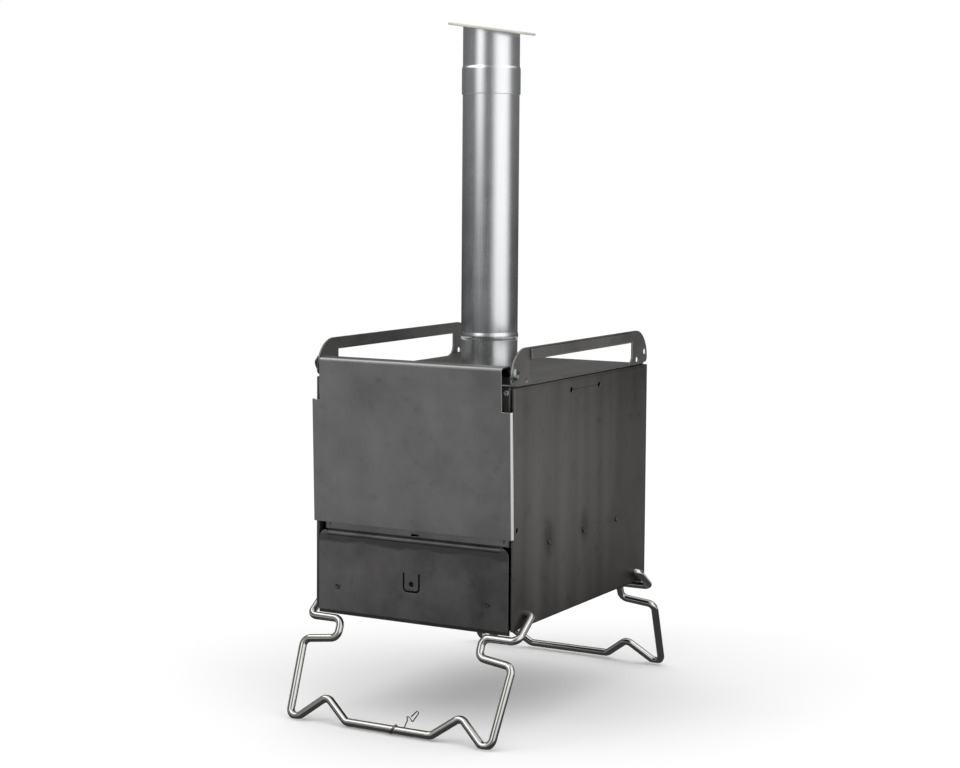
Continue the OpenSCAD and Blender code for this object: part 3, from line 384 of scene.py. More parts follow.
def sheet_metal(name, pale, dark, worn_and_lit, direction="Z", roughness=0.40, smear=0.55, spread=0.14,
                blotches=0.3, edge=1.0, fade=(), spots=(), band=(), strip=(), line=()):
    """Dark oiled steel: its pale and dark greys mixed by the tone of its skin, and turned to the
    worn colour where it is rubbed bare, which is also glossier, and where highlights are painted on.
    A fade of painted shade is (axis, from, to, amount), a spot of soot (place, size, depth), the
    band of painted shade (from z, to z, amount), the painted highlight strip (half width, share)
    and the painted highlight line (y, z, width, share) of a fold along X."""
    material, tree = new_tree(name)
    where = put(tree, "ShaderNodeTexCoord").outputs["Object"]
    clouds = put(tree, "ShaderNodeTexNoise", {
        "Vector": where, "Scale": 1 / CLOUD_SIZE, "Detail": 5.0, "Roughness": 0.6})
    tone = rolled_skin(tree, where, clouds, direction, smear, spread, blotches)
    tone = darkened(tree, where, clouds, tone, fade, spots, band)
    skin = put(tree, "ShaderNodeMix", {"Factor": tone, 6: linear(dark), 7: linear(pale)},
               data_type="RGBA")
    rounded = put(tree, "ShaderNodeBevel", {"Radius": EDGE_WEAR_AND_HIGHLIGHT}, samples=6)
    bare_and_lit = wear_and_highlights(tree, where, rounded, edge, strip, line)
    skin = put(tree, "ShaderNodeMix", {"Factor": bare_and_lit, 6: skin.outputs[2], 7: linear(worn_and_lit)},
               data_type="RGBA")
    dull = put(tree, "ShaderNodeMapRange", {
        "Value": clouds, "From Min": CLOUD_LOW, "From Max": CLOUD_HIGH,
        "To Min": roughness - 0.05, "To Max": roughness + 0.06})
    shine = put(tree, "ShaderNodeMath", {0: bare_and_lit, 1: 0.12}, operation="MULTIPLY")
    gloss = put(tree, "ShaderNodeMath", {0: dull, 1: shine}, operation="SUBTRACT")
    placed = put(tree, "ShaderNodeMapping", {
        "Vector": where, "Scale": along(direction, GRAIN_WIDTH, GRAIN_LENGTH)})
    grain = put(tree, "ShaderNodeTexNoise", {"Vector": placed, "Scale": 1.0, "Detail": 2.0})
    bump = put(tree, "ShaderNodeBump", {
        "Height": grain, "Normal": rounded, "Strength": 0.25, "Distance": GRAIN_DEPTH})
    shader = put(tree, "ShaderNodeBsdfPrincipled", {
        "Base Color": skin.outputs[2], "Metallic": 0.75, "Roughness": gloss, "Normal": bump})
    put(tree, "ShaderNodeOutputMaterial", {"Surface": shader})
    return material


def finish_node(name, material):
    """Gives a CAD node its material in every slot."""
    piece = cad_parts[name]
    piece.data.materials.clear()
    piece.data.materials.append(material)


# Oiled side panels: smeared up and down, with painted shade darkening them to the back and to the
# foot, and soot round each rail rivet, wide and faint with a small dark middle
soot = [((side * BODY_HALF, i * RAIL_RIVET_STEP, RAIL_RIVET_Z + up), size, depth)
        for side in (-1, 1) for i in (-1, 0, 1)
        for up, size, depth in ((0.003, 0.016, 0.35), (0.0, 0.0062, 0.55))]
side_sheet = sheet_metal("oiled_side_steel", "#7b7874", "#353330", "#a5a29d", spots=soot,
                         smear=0.7, blotches=0.12, spread=0.5,
                         fade=[("Y", -0.04, 0.155, 0.45), ("Z", 0.27, 0.11, 0.26)])
for name in ("right_side_panel", "left_side_panel"):
    finish_node(name, side_sheet)

# Oiled back: even and dark
back_sheet = sheet_metal("oiled_back_steel", "#6c6b69", "#4c4b4a", "#9a9894", spread=0.3)
finish_node("back_panel", back_sheet)

# Oiled floor, darkest of the body's sheets as painted shade under the stove, its edges hardly worn
floor_sheet = sheet_metal("oiled_floor_steel", "#444342", "#2e2d2c", "#6a6966", direction="Y",
                          edge=0.3)
finish_node("bottom_plate", floor_sheet)

# Oiled inner frame, smeared across the front, paler as cleaner steel and as painted light on its
# sill and in the door's notch
frame_sheet = sheet_metal("oiled_frame_steel", "#8b8a87", "#686765", "#b9b7b2", direction="X")
finish_node("front_frame", frame_sheet)

# Oiled top cover, smeared front to back, with bright edges that are worn and also painted pale
# as their highlights
cover_sheet = sheet_metal("oiled_cover_steel", "#7a7977", "#5f5e5c", "#cbc9c4", direction="Y",
                          blotches=0.2)
finish_node("top_cover", cover_sheet)

# The fire door
# One blank of the same steel: a channel folded along the top round the hinge's sleeve, a flat
# face, and sides folded back below the ears. Its side folds and top fold carry painted highlights,
# and painted shade darkens it towards its foot and its right side.

# Width of the painted highlight on the door's side folds, and place and width of the painted
# highlight along its top fold
SIDE_HIGHLIGHT_WIDTH = 0.0010
TOP_FOLD_Y, TOP_FOLD_Z, TOP_FOLD_HIGHLIGHT_WIDTH = -0.1642, BODY_UP + 0.2586, 0.0014
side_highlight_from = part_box("fire_door")[1].x - SIDE_HIGHLIGHT_WIDTH

# Oiled door: an even satin grey, with painted highlights in a pale bare-metal colour on its side
# folds and top fold, and painted shade towards its foot and its right side
door_sheet = sheet_metal("oiled_door_steel", "#7d7d7d", "#666666", "#dededa", smear=0.25,
                         spread=0.2, fade=[("Z", 0.22, 0.14, 0.4), ("X", 0.04, 0.115, 0.3)],
                         strip=(side_highlight_from, 0.95),
                         line=(TOP_FOLD_Y, TOP_FOLD_Z, TOP_FOLD_HIGHLIGHT_WIDTH, 0.4))
finish_node("fire_door", door_sheet)

# The grate and other plain steel
# The slotted grate lies loose on two bent rails that are riveted to the side panels, and a tube in
# the door's channel is its hinge's sleeve. All are mill steel with no finish but oil.

# Plain mill steel: mid grey, smeared front to back
rail_sheet = sheet_metal("plain_mill_steel", "#7d7c7a", "#5e5d5c", "#a3a19e", direction="Y")
for name in ("left_grate_rail", "right_grate_rail", "fire_grate", "hinge_sleeve"):
    finish_node(name, rail_sheet)

# The flue pipes
# Two lengths of stainless tube, rolled and seam-welded, with a bead rolled near the foot of the
# lower one. The upper one has a socket swaged at its lower end, and its top is cut at a slant.

pipe_low, pipe_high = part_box("lower_flue_pipe")
upper_low, upper_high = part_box("upper_flue_pipe")
PIPE_RADIUS, PIPE_WALL = 0.030, 0.0007
PLATE_Z, SHOULDER_Z, SOCKET_Z = pipe_low.z, pipe_high.z, upper_low.z
BEAD_Z, BEAD_WIDTH, BEAD_OUT = PLATE_Z + 0.0357, 0.0084, 0.0007
SOCKET_OUT, SHOULDER = 0.001, 0.004
SLANT = math.radians(7.9)
TOP_Z = upper_high.z - PIPE_RADIUS * math.tan(SLANT)
PIPE_MIDDLE = (0, (pipe_low.y + pipe_high.y) / 2, 0)
# Round of a cut edge, in from the surface and along it
EDGE_IN, EDGE_ALONG = 0.0002, 0.0003
# Straight stretches get a ring this near to each corner, so that they shade flat
FLAT_FROM = 0.0004
# Below the shoulder: the last ring of the lower tube's straight, and where the socket's bend starts
LAST_RING, BEND_START = 0.001, 0.0005
# The upper tube is worked out this much too long, then cut at the slant
TOP_SPARE = 0.01
PIPE_SIDES = 160
# A metal's faint broad cloudiness
BROAD_SIZE = 0.03


def metal(name, pale, dark, roughness, scale, ripple=0.0, metallic=1.0):
    """Plain metal: two close colours mixed by a fine pattern of the given scale and a broad one.
    They also turn the roughness up and down, and the fine one ripples the surface by that many
    metres."""
    material, tree = new_tree(name)
    where = put(tree, "ShaderNodeTexCoord").outputs["Object"]
    placed = put(tree, "ShaderNodeMapping", {"Vector": where, "Scale": scale})
    fine = put(tree, "ShaderNodeTexNoise", {
        "Vector": placed, "Scale": 1.0, "Detail": 4.0, "Roughness": 0.6})
    broad = put(tree, "ShaderNodeTexNoise", {
        "Vector": where, "Scale": 1 / BROAD_SIZE, "Detail": 4.0})
    blend = put(tree, "ShaderNodeMix", {"Factor": 0.4, 2: fine, 3: broad}, data_type="FLOAT")
    tone = put(tree, "ShaderNodeMapRange", {"Value": blend, "From Min": 0.35, "From Max": 0.65})
    skin = put(tree, "ShaderNodeMix", {"Factor": tone, 6: linear(dark), 7: linear(pale)},
               data_type="RGBA")
    rough = put(tree, "ShaderNodeMapRange", {
        "Value": tone, "To Min": roughness - 0.04, "To Max": roughness + 0.04})
    bump = put(tree, "ShaderNodeBump", {"Height": fine, "Strength": 0.4, "Distance": ripple})
    shader = put(tree, "ShaderNodeBsdfPrincipled", {
        "Base Color": skin.outputs[2], "Metallic": metallic, "Roughness": rough, "Normal": bump})
    put(tree, "ShaderNodeOutputMaterial", {"Surface": shader})
    return material


def turned(profile, steps, centre, axis=(0, 0, 1)):
    """Points of a profile of (radius, height) turned round an axis through a centre: a rotation of
    each profile point by every step's angle. Heights run along the axis."""
    profile = np.asarray(profile, float)
    z = np.asarray(axis, float) / np.linalg.norm(axis)
    x = np.cross([0, 1, 0] if abs(z[1]) < 0.9 else [1, 0, 0], z)
    x = x / np.linalg.norm(x)
    y = np.cross(z, x)
    angle = np.linspace(0, 2 * np.pi, steps, endpoint=False)[None, :, None]
    outward = np.cos(angle) * x + np.sin(angle) * y
    return np.asarray(centre) + profile[:, None, :1] * outward + profile[:, None, 1:] * z


def tidy_shell(piece, angle=38):
    """Merges seams and poles, turns the faces outwards and keeps edges over the angle sharp."""
    shell = bmesh.new()
    shell.from_mesh(piece.data)
    bmesh.ops.remove_doubles(shell, verts=shell.verts, dist=1e-6)
    bmesh.ops.dissolve_degenerate(shell, dist=1e-7, edges=shell.edges)
    bmesh.ops.recalc_face_normals(shell, faces=shell.faces)
    shell.to_mesh(piece.data)
    shell.free()
    piece.data.polygons.foreach_set("use_smooth", [True] * len(piece.data.polygons))
    piece.data.set_sharp_from_angle(angle=math.radians(angle))


def solid(name, grids, material, body, *replaced):
    """One piece from one or more closed grids of points: its poles and seams merged, its faces
    turned outwards, riding on its body in place of the CAD nodes named."""
    points, faces, count = [], [], 0
    for grid, close_rows in grids:
        rows, columns = grid.shape[:2]
        faces.append(grid_faces(rows, columns, close_rows, True) + count)
        points.append(grid.reshape(-1, 3))
        count += rows * columns
    piece = made(name, np.vstack(points), np.vstack(faces), material)
    tidy_shell(piece)
    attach(piece, body)
    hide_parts(*replaced)


def held(profile, near):
    """A profile with a point added that near to each corner along its longer stretches, so that
    the smooth shading stays flat between corners."""
    start, end = profile[:-1], profile[1:]
    length = np.linalg.norm(end - start, axis=1)
    step = (end - start) * near / length[:, None]
    long = length > near * 4
    rows = np.stack([start, start + step, end - step], 1)
    return np.vstack([rows[np.stack([np.ones_like(long), long, long], 1)], profile[-1:]])


# Satin stainless tube: fine lines along the pipe from drawing, a soft sheen between them. The
# lines are finer than a pixel, so they are drawn 1.1 mm apart
LINE_GAP, LINE_LENGTH = 1 / 900, 1 / 15
pipe_steel = metal("satin_stainless_tube", "#d3d4d6", "#c6c8ca", 0.25,
                   along("Z", LINE_GAP, LINE_LENGTH), 0.000005)
finish_node("flue_collar", pipe_steel)

bore = PIPE_RADIUS - PIPE_WALL
t = np.linspace(-1, 1, 21)
bead = np.stack([PIPE_RADIUS + BEAD_OUT * (1 - t * t) ** 1.5, BEAD_Z + t * BEAD_WIDTH / 2], -1)
rise = np.linspace(BEAD_Z + BEAD_WIDTH / 2, SHOULDER_Z - LAST_RING, 12)[1:-1]
profile = np.vstack([
    [[PIPE_RADIUS - EDGE_IN, PLATE_Z], [PIPE_RADIUS, PLATE_Z + EDGE_ALONG]], bead,
    np.stack([np.full_like(rise, PIPE_RADIUS), rise], -1),
    [[PIPE_RADIUS, SHOULDER_Z - EDGE_ALONG], [PIPE_RADIUS - EDGE_IN, SHOULDER_Z],
     [bore, SHOULDER_Z], [bore, PLATE_Z]]])
lower = turned(held(profile, FLAT_FROM), PIPE_SIDES, PIPE_MIDDLE)
solid("lower_pipe_tube", [(lower, True)], pipe_steel, "lower_pipe", "lower_flue_pipe")

socket = PIPE_RADIUS + SOCKET_OUT
s = np.linspace(0, 1, 9)
shoulder = np.stack([PIPE_RADIUS + SOCKET_OUT * (1 - smooth_step(s)),
                     SHOULDER_Z + s * SHOULDER], -1)
profile = np.vstack([
    [[socket - EDGE_IN, SOCKET_Z], [socket, SOCKET_Z + EDGE_ALONG],
     [socket, SHOULDER_Z - BEND_START]], shoulder,
    [[PIPE_RADIUS, SHOULDER_Z + SHOULDER * 3], [PIPE_RADIUS, TOP_Z + TOP_SPARE],
     [bore, TOP_Z + TOP_SPARE], [bore, SHOULDER_Z + SHOULDER - PIPE_WALL],
     [bore, SHOULDER_Z + PIPE_WALL / 2], [socket - PIPE_WALL, SHOULDER_Z],
     [socket - PIPE_WALL, SOCKET_Z]]])
upper = turned(held(profile, FLAT_FROM), PIPE_SIDES, PIPE_MIDDLE)
upper[..., 2] = np.minimum(upper[..., 2], TOP_Z - upper[..., 0] * math.tan(SLANT))
solid("upper_pipe_tube", [(upper, True)], pipe_steel, "upper_pipe", "upper_flue_pipe")

# The flue cap
# A pressed disc of matt pale metal with a rounded rim and a shallow dish lies on the pipe's
# slanted top. A short upright spigot under it slips into the pipe, and the cap lifts off.

DISC_RADIUS, DISC_THICK = 0.0465, 0.0025
DISH_RIM, DISH_RADIUS, DISH_UP = 0.043, 0.041, DISC_THICK * 0.9
FLAT_RADIUS = 0.03
SPIGOT_RADIUS, SPIGOT_WALL, SPIGOT_LENGTH = 0.029, 0.001, 0.014
SPIGOT_EDGE_IN, SPIGOT_EDGE_ALONG = 0.0003, 0.0005
CAP_SIDES = 128

# Matt pale metal: a dull warm white, faintly uneven in patches of 11 mm
PATCH_SIZE = 1 / 90
cap_metal = metal("matt_pale_metal", "#cfcdc5", "#bfbdb4", 0.55, along("Z", PATCH_SIZE, PATCH_SIZE),
                  0.00004, metallic=0.35)
a = np.linspace(-np.pi / 2, np.pi / 2, 9)
rim = np.stack([DISC_RADIUS - DISC_THICK / 2 + np.cos(a) * DISC_THICK / 2,
                DISC_THICK / 2 + np.sin(a) * DISC_THICK / 2], -1)
profile = np.vstack([[[0, 0], [FLAT_RADIUS, 0]], rim,
                     [[DISH_RIM, DISC_THICK], [DISH_RADIUS, DISH_UP], [0, DISH_UP]]])
disc = turned(profile, CAP_SIDES, (0, PIPE_MIDDLE[1], TOP_Z),
              (math.sin(SLANT), 0.0, math.cos(SLANT)))
foot, spigot_bore = TOP_Z - SPIGOT_LENGTH, SPIGOT_RADIUS - SPIGOT_WALL
tube = turned([[SPIGOT_RADIUS - SPIGOT_EDGE_IN, foot], [SPIGOT_RADIUS, foot + SPIGOT_EDGE_ALONG],
               [SPIGOT_RADIUS, TOP_Z], [spigot_bore, TOP_Z], [spigot_bore, foot]],
              CAP_SIDES, PIPE_MIDDLE)
tube[2:4, :, 2] = TOP_Z + DISC_THICK / 2 - tube[2:4, :, 0] * math.tan(SLANT)
solid("flue_cap_disc", [(disc, False), (tube, True)], cap_metal, "cap", "flue_cap")

# The ash drawer
# The face is one blank of the body's sheet: a pull tab cut free by a U-shaped slot, with a finger
# hole in the tab, rounded top corners, and between them a lip rolled back over the tray. Two blind
# rivets hold it to the folded tray of thinner sheet.

face_low, face_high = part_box("ash_drawer_front")
# Typed and not read from the frame: so the lip's lap rounds to just in front of the face. On it, the
# two would show as a thin dark line
FACE_FRONT = -0.1571
SHEET, TRAY_SHEET = 0.0012, 0.0010
CORNER_RADIUS, LIP_RADIUS, LIP_DEPTH, LIP_LAP = 0.009, 0.004, 0.005, 0.001
TAB_HALF, TAB_FOOT, TAB_HEIGHT = 0.009, BODY_UP + 0.028, 0.0188
TAB_CORNER, TAB_SLOT = 0.004, 0.0022
FINGER_HOLE_Z, FINGER_HOLE_RADIUS = BODY_UP + 0.0356, 0.0028
FACE_RIVET_X, FACE_RIVET_Z, FACE_RIVET_HOLE = 0.0872, BODY_UP + 0.025, 0.0017
EDGE_ROUND = 0.00015
# Foot and top of the band of painted shade under the drawer's lip
LIP_SHADE_FOOT, LIP_SHADE_TOP = BODY_UP + 0.0705, BODY_UP + 0.0785
# Faces that meet at more than this angle keep a sharp edge between them
FACE_SHARP = 12
HOLE_POINTS = 24

# Sooted tray: nearly black and dull inside and out, its black also painting the shade seen through
# the drawer face's slot
tray_sheet = sheet_metal("sooted_tray_steel", "#1c1b1b", "#0e0e0e", "#4a4947", direction="Y",
                         roughness=0.6, edge=0.3)
finish_node("ash_drawer_tray", tray_sheet)

# Oiled drawer face: painted shade darkens it to the right, and a band of painted shade lies under
# the lip
drawer_sheet = sheet_metal("oiled_drawer_steel", "#777576", "#424041", "#8f8d8a", smear=0.2,
                           blotches=0.12, spread=0.34, fade=[("X", -0.10, 0.11, 0.3)],
                           band=(LIP_SHADE_FOOT, LIP_SHADE_TOP, 0.45))


def arc(centre, radius, start, end, steps=10):
    """Points (x, z) on an arc round a centre, from one angle to another in degrees."""
    a = np.radians(np.linspace(start, end, steps))
    return np.asarray(centre) + radius * np.stack([np.cos(a), np.sin(a)], -1)


def u_slot(half, foot, height, corner, width):
    """Outline of a U-shaped slot: the outer side down, round both corners and up, then the inner
    side back, each half the width from the middle line."""
    sides = []
    for grow in (width / 2, -width / 2):
        r = corner + grow
        left, right = -half + corner, half - corner
        sides.append(np.vstack([[[-half - grow, foot + height]],
                                arc((left, foot + corner), r, 180, 270),
                                arc((right, foot + corner), r, 270, 360),
                                [[half + grow, foot + height]]]))
    return np.vstack([sides[0], sides[1][::-1]])


def flat_blank(name, outlines, y, thick, rounding, material):
    """A sheet cut to outlines of (x, z), the first outside and the rest holes: a filled flat curve
    with its thickness and rounded edges, made a mesh that stands upright with its front at y."""
    drawn = bpy.data.curves.new(name, "CURVE")
    drawn.dimensions, drawn.fill_mode = "2D", "BOTH"
    drawn.extrude, drawn.bevel_depth, drawn.bevel_resolution = thick / 2 - rounding, rounding, 1
    drawn.offset = -rounding
    for outline in outlines:
        spline = drawn.splines.new("POLY")
        spline.points.add(len(outline) - 1)
        flat = np.hstack([outline, np.zeros((len(outline), 1)), np.ones((len(outline), 1))])
        spline.points.foreach_set("co", flat.ravel())
        spline.use_cyclic_u = True
    holder = bpy.data.objects.new(name + "_outline", drawn)
    bpy.context.scene.collection.objects.link(holder)
    graph = bpy.context.evaluated_depsgraph_get()
    mesh = bpy.data.meshes.new_from_object(holder.evaluated_get(graph))
    bpy.data.objects.remove(holder)
    bpy.data.curves.remove(drawn)
    upright = ((1, 0, 0, 0), (0, 0, 1, y + thick / 2), (0, 1, 0, 0), (0, 0, 0, 1))
    mesh.transform(Matrix(upright))
    mesh.name = name
    mesh.materials.clear()
    mesh.materials.append(material)
    piece = bpy.data.objects.new(name, mesh)
    bpy.context.scene.collection.objects.link(piece)
    return piece


def folded_strip(outer, inner, x0, x1):
    """A folded sheet's grid: its outer and inner section lines of (y, z) joined to a band across
    X at each step, with both ends closed on their middles."""
    ring = np.stack([np.stack([np.full(len(line), x), *line.T], -1)
                     for x, line in ((x0, outer), (x1, outer), (x1, inner), (x0, inner))], 1)
    ends = [np.broadcast_to(ring[i].mean(0), ring[i].shape)[None] for i in (0, -1)]
    return np.concatenate([ends[0], ring, ends[1]])


face_half, face_top = face_high.x, face_high.z
lip_half = face_half - CORNER_RADIUS
outline = np.vstack([
    [[-face_half, face_low.z], [face_half, face_low.z]],
    arc((lip_half, face_top - CORNER_RADIUS), CORNER_RADIUS, 0, 90, 14),
    [[lip_half, face_top - LIP_RADIUS], [-lip_half, face_top - LIP_RADIUS]],
    arc((-lip_half, face_top - CORNER_RADIUS), CORNER_RADIUS, 90, 180, 14)])
holes = [(0, FINGER_HOLE_Z, FINGER_HOLE_RADIUS), (-FACE_RIVET_X, FACE_RIVET_Z, FACE_RIVET_HOLE),
         (FACE_RIVET_X, FACE_RIVET_Z, FACE_RIVET_HOLE)]
cuts = [u_slot(TAB_HALF, TAB_FOOT, TAB_HEIGHT, TAB_CORNER, TAB_SLOT)]
cuts += [arc((x, z), radius, 0, 360 - 360 / HOLE_POINTS, HOLE_POINTS) for x, z, radius in holes]
face = flat_blank("drawer_face_sheet", [outline, *cuts], FACE_FRONT, SHEET, EDGE_ROUND,
                  drawer_sheet)
tidy_shell(face, FACE_SHARP)
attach(face, "drawer")
fold = (FACE_FRONT + LIP_RADIUS, face_top - LIP_RADIUS)
tip = np.array([[FACE_FRONT + SHEET + LIP_DEPTH, face_top]])
section = [np.vstack([[[FACE_FRONT + inside, face_top - LIP_RADIUS - LIP_LAP]],
                      arc(fold, LIP_RADIUS - inside, 180, 90, 16), tip - [0, inside]])
           for inside in (0.0, SHEET)]
strip = folded_strip(*section, -lip_half, lip_half)
lip = made("drawer_face_lip", strip, grid_faces(*strip.shape[:2], False, True), drawer_sheet)
tidy_shell(lip)
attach(lip, "drawer")
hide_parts("ash_drawer_front")

# The folding legs
# Each is one length of 8 mm stainless wire, cold-bent round a former and polished by tumbling.
# Its ends turn in the holes of the side panels.

LEG_RADIUS, BEND_RADIUS, PIVOT_BEND = 0.004, 0.008, 0.0059
LEG_LEAN = math.radians(25.1)
# From the side panel's face in to the wire's end and out to its arm, from the body's end in to the
# pivot and out to the stop run, and from the body's foot up to the pivot and down to the run
END_IN, ARM_OUT = 0.0085, 0.006
PIVOT_IN, RUN_OUT = 0.0295, 0.0015
PIVOT_UP, RUN_DROP = 0.0125, 0.0086
ARM_X, PIVOT_Y, PIVOT_Z = BODY_HALF + ARM_OUT, PIVOT_IN - BODY_END, BODY_UP + PIVOT_UP
# The bends of half a leg, each as (x, distance down the leaning frame from the stop run): both
# ends of the C, shoulder, foot, hump and cross bar
FRAME_BENDS = np.array([[0.0825, 0.0], [0.0825, 0.0199], [0.1213, 0.0249], [0.1157, 0.1124],
                        [0.0775, 0.0800], [0.0490, 0.1020]])
# The wire's ends: length and width of the chamfer as shares of the radius
TIP_LENGTH, TIP_WIDTH = 0.12, 0.86
# A direction that no wire starts along
ASKEW = [0.3, 0.5, 0.81]


def leaning(x, down):
    """A point of the leg's frame: from the stop run, y falls by the sine and z by the cosine of
    the lean times the distance down."""
    y = -BODY_END - RUN_OUT - down * math.sin(LEG_LEAN)
    z = BODY_UP - RUN_DROP - down * math.cos(LEG_LEAN)
    return np.stack(np.broadcast_arrays(x, y, z), -1)


def bent_line(corners, radii, steps=14):
    """Centre line of a bent wire: straight between corners, and at each corner an arc of the given
    radius whose ends lie radius times the tangent of half the turn from the corner."""
    line = [corners[:1]]
    for before, corner, after, radius in zip(corners[:-2], corners[1:-1], corners[2:], radii[1:-1]):
        into = (corner - before) / np.linalg.norm(corner - before)
        out = (after - corner) / np.linalg.norm(after - corner)
        angle = np.arccos(np.clip(into @ out, -1, 1))
        side = out - into * (into @ out)
        side = side / np.linalg.norm(side)
        start = corner - into * radius * np.tan(angle / 2)
        turn = np.linspace(0, angle, steps)[:, None]
        line.append(start + radius * (np.sin(turn) * into + (1 - np.cos(turn)) * side))
    line.append(corners[-1:])
    return np.vstack(line)


def around(line, ahead, across, radius, sides):
    """A circle at each point of a line: cosine times the way across plus sine times the way that
    is square to both that and the way ahead."""
    other = np.cross(ahead, across)
    angle = np.linspace(0, 2 * np.pi, sides, endpoint=False)[None, :, None]
    return line[:, None] + radius * (
        np.cos(angle) * across[:, None] + np.sin(angle) * other[:, None])


def swept(line, radius, sides=28):
    """Points of a round wire along a line: a circle across the line at each of its points, its
    start turned as little as possible from one to the next. The ends close to a small chamfer."""
    ahead = np.gradient(line, axis=0)
    ahead = ahead / np.linalg.norm(ahead, axis=1, keepdims=True)
    across = np.zeros_like(line)
    first = np.cross(ahead[0], ASKEW)
    across[0] = first / np.linalg.norm(first)
    for i in range(1, len(line)):
        slid = across[i - 1] - ahead[i] * (across[i - 1] @ ahead[i])
        across[i] = slid / np.linalg.norm(slid)
    ring = around(line, ahead, across, radius, sides)
    inset = TIP_LENGTH * radius
    begin = [np.broadcast_to(line[0], ring[0].shape),
             line[0] + (ring[0] - line[0]) * TIP_WIDTH, ring[0] + ahead[0] * inset]
    finish = [ring[-1] - ahead[-1] * inset, line[-1] + (ring[-1] - line[-1]) * TIP_WIDTH,
              np.broadcast_to(line[-1], ring[-1].shape)]
    return np.concatenate([np.stack(begin), ring[1:-1], np.stack(finish)])


# Tumbled stainless wire: bright, with small soft scratches all over. Real ones are finer than a
# pixel, so they are drawn 1.1 mm apart
SCRATCH_GAP = 1 / 900
wire_steel = metal("tumbled_stainless_wire", "#cbc9c6", "#b9b7b4", 0.13,
                   along("Z", SCRATCH_GAP, SCRATCH_GAP), 0.000004)
leg_half = np.vstack([[BODY_HALF - END_IN, PIVOT_Y, PIVOT_Z], [ARM_X, PIVOT_Y, PIVOT_Z],
                      leaning(ARM_X, 0.0), leaning(FRAME_BENDS[:, 0], FRAME_BENDS[:, 1])])
bends = np.array([0, PIVOT_BEND] + [BEND_RADIUS] * (len(leg_half) - 2))
leg_corners = np.vstack([leg_half, leg_half[::-1] * [-1, 1, 1]])
front = swept(bent_line(leg_corners, np.concatenate([bends, bends[::-1]])), LEG_RADIUS)
solid("front_leg_wire", [(front, False)], wire_steel, "front_leg_frame", "front_leg")
solid("rear_leg_wire", [(front * [1, -1, 1], False)], wire_steel, "rear_leg_frame", "rear_leg")

# The leg keeper
# A thin spring-steel wire: a ring round the front leg's cross bar, a twist and a long hook that
# catches the other leg when both are folded.

KEEPER_RADIUS, KEEPER_GAP, KEEPER_BEND = 0.0006, 0.0003, 0.001
KEEPER_X, KEEPER_TILT = 0.0064, math.radians(24)
KEEPER_RING = (LEG_RADIUS + KEEPER_GAP + KEEPER_RADIUS) / math.cos(KEEPER_TILT)
KEEPER_WIDTH, KEEPER_HEIGHT = 0.026, 0.0205
# The hook's bends as shares of its width and height; its tip ends 1.8 mm behind the rest
KEEPER_BENDS = np.array([[0, 0], [0.33, 0.05], [0.5, 0.5], [0.45, 0.7], [0.6, 0.63],
                         [0.71, 0.43], [1, 0.94], [0.91, 1], [0.62, 0.67]])
TIP_BACK = 0.0018
# The radius of the ring's wire is this much over the hook's, as in the solid
RING_EXTRA = 0.00002
KEEPER_SIDES = 14

# Spring-steel wire: a warm grey, drawn mottled every 2 mm as its real scratches are too fine
MOTTLE_GAP = 1 / 500
keeper_wire = metal("spring_steel_wire", "#a7a194", "#7d776b", 0.25,
                    along("Z", MOTTLE_GAP, MOTTLE_GAP))
bar_middle = leaning(KEEPER_X, FRAME_BENDS[-1, 1])
corners = np.insert(KEEPER_BENDS * [KEEPER_WIDTH, KEEPER_HEIGHT], 1, KEEPER_RING, axis=1)
corners[-1, 1] += TIP_BACK
hook = swept(bent_line(bar_middle + corners, np.full(len(corners), KEEPER_BEND), 9),
             KEEPER_RADIUS, KEEPER_SIDES)
a = np.linspace(0, 2 * np.pi, 64, endpoint=False)[:, None]
down = np.array([-math.sin(KEEPER_TILT), 0, -math.cos(KEEPER_TILT)])
back = np.array([0.0, 1.0, 0.0])
plane = np.cross(down, back)
outward = np.cos(a) * down + np.sin(a) * back
ring = around(bar_middle + KEEPER_RING * outward, np.cos(a) * back - np.sin(a) * down,
              np.broadcast_to(plane, outward.shape), KEEPER_RADIUS + RING_EXTRA, KEEPER_SIDES)
solid("keeper_wire", [(hook, False), (ring, True)], keeper_wire, "keeper", "leg_keeper")

# The hinge rod and its caps
# A near-black rod runs through both ears of the cover and carries the door's sleeve. A polished
# domed cap, with a groove inside its brim, is pressed on each end against the ear.

cap_low, cap_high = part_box("hinge_caps")
ROD_Y, ROD_Z = (cap_low.y + cap_high.y) / 2, (cap_low.z + cap_high.z) / 2
ROD_RADIUS, ROD_GAP = 0.003, 0.00005
CAP_RADIUS, CAP_HEIGHT = 0.00775, 0.0045
DOME_RADIUS, DOME_FOOT = 0.0063, 0.0012
BORE_DEPTH = 0.00305
BRIM = [[CAP_RADIUS - 0.0003, 0.0], [CAP_RADIUS, 0.0003], [CAP_RADIUS - 0.0001, 0.0008],
        [CAP_RADIUS - 0.0005, 0.0011], [DOME_RADIUS + 0.0004, 0.0010]]
CAP_X = cap_high.x - CAP_HEIGHT

# Near-black rod: satin black, with lines along it that are drawn 1.1 mm apart to show at all
ROD_LINE_LENGTH = 1 / 60
rod_black = metal("near_black_rod", "#26262a", "#141416", 0.34,
                  along("X", LINE_GAP, ROD_LINE_LENGTH))
finish_node("hinge_rod", rod_black)

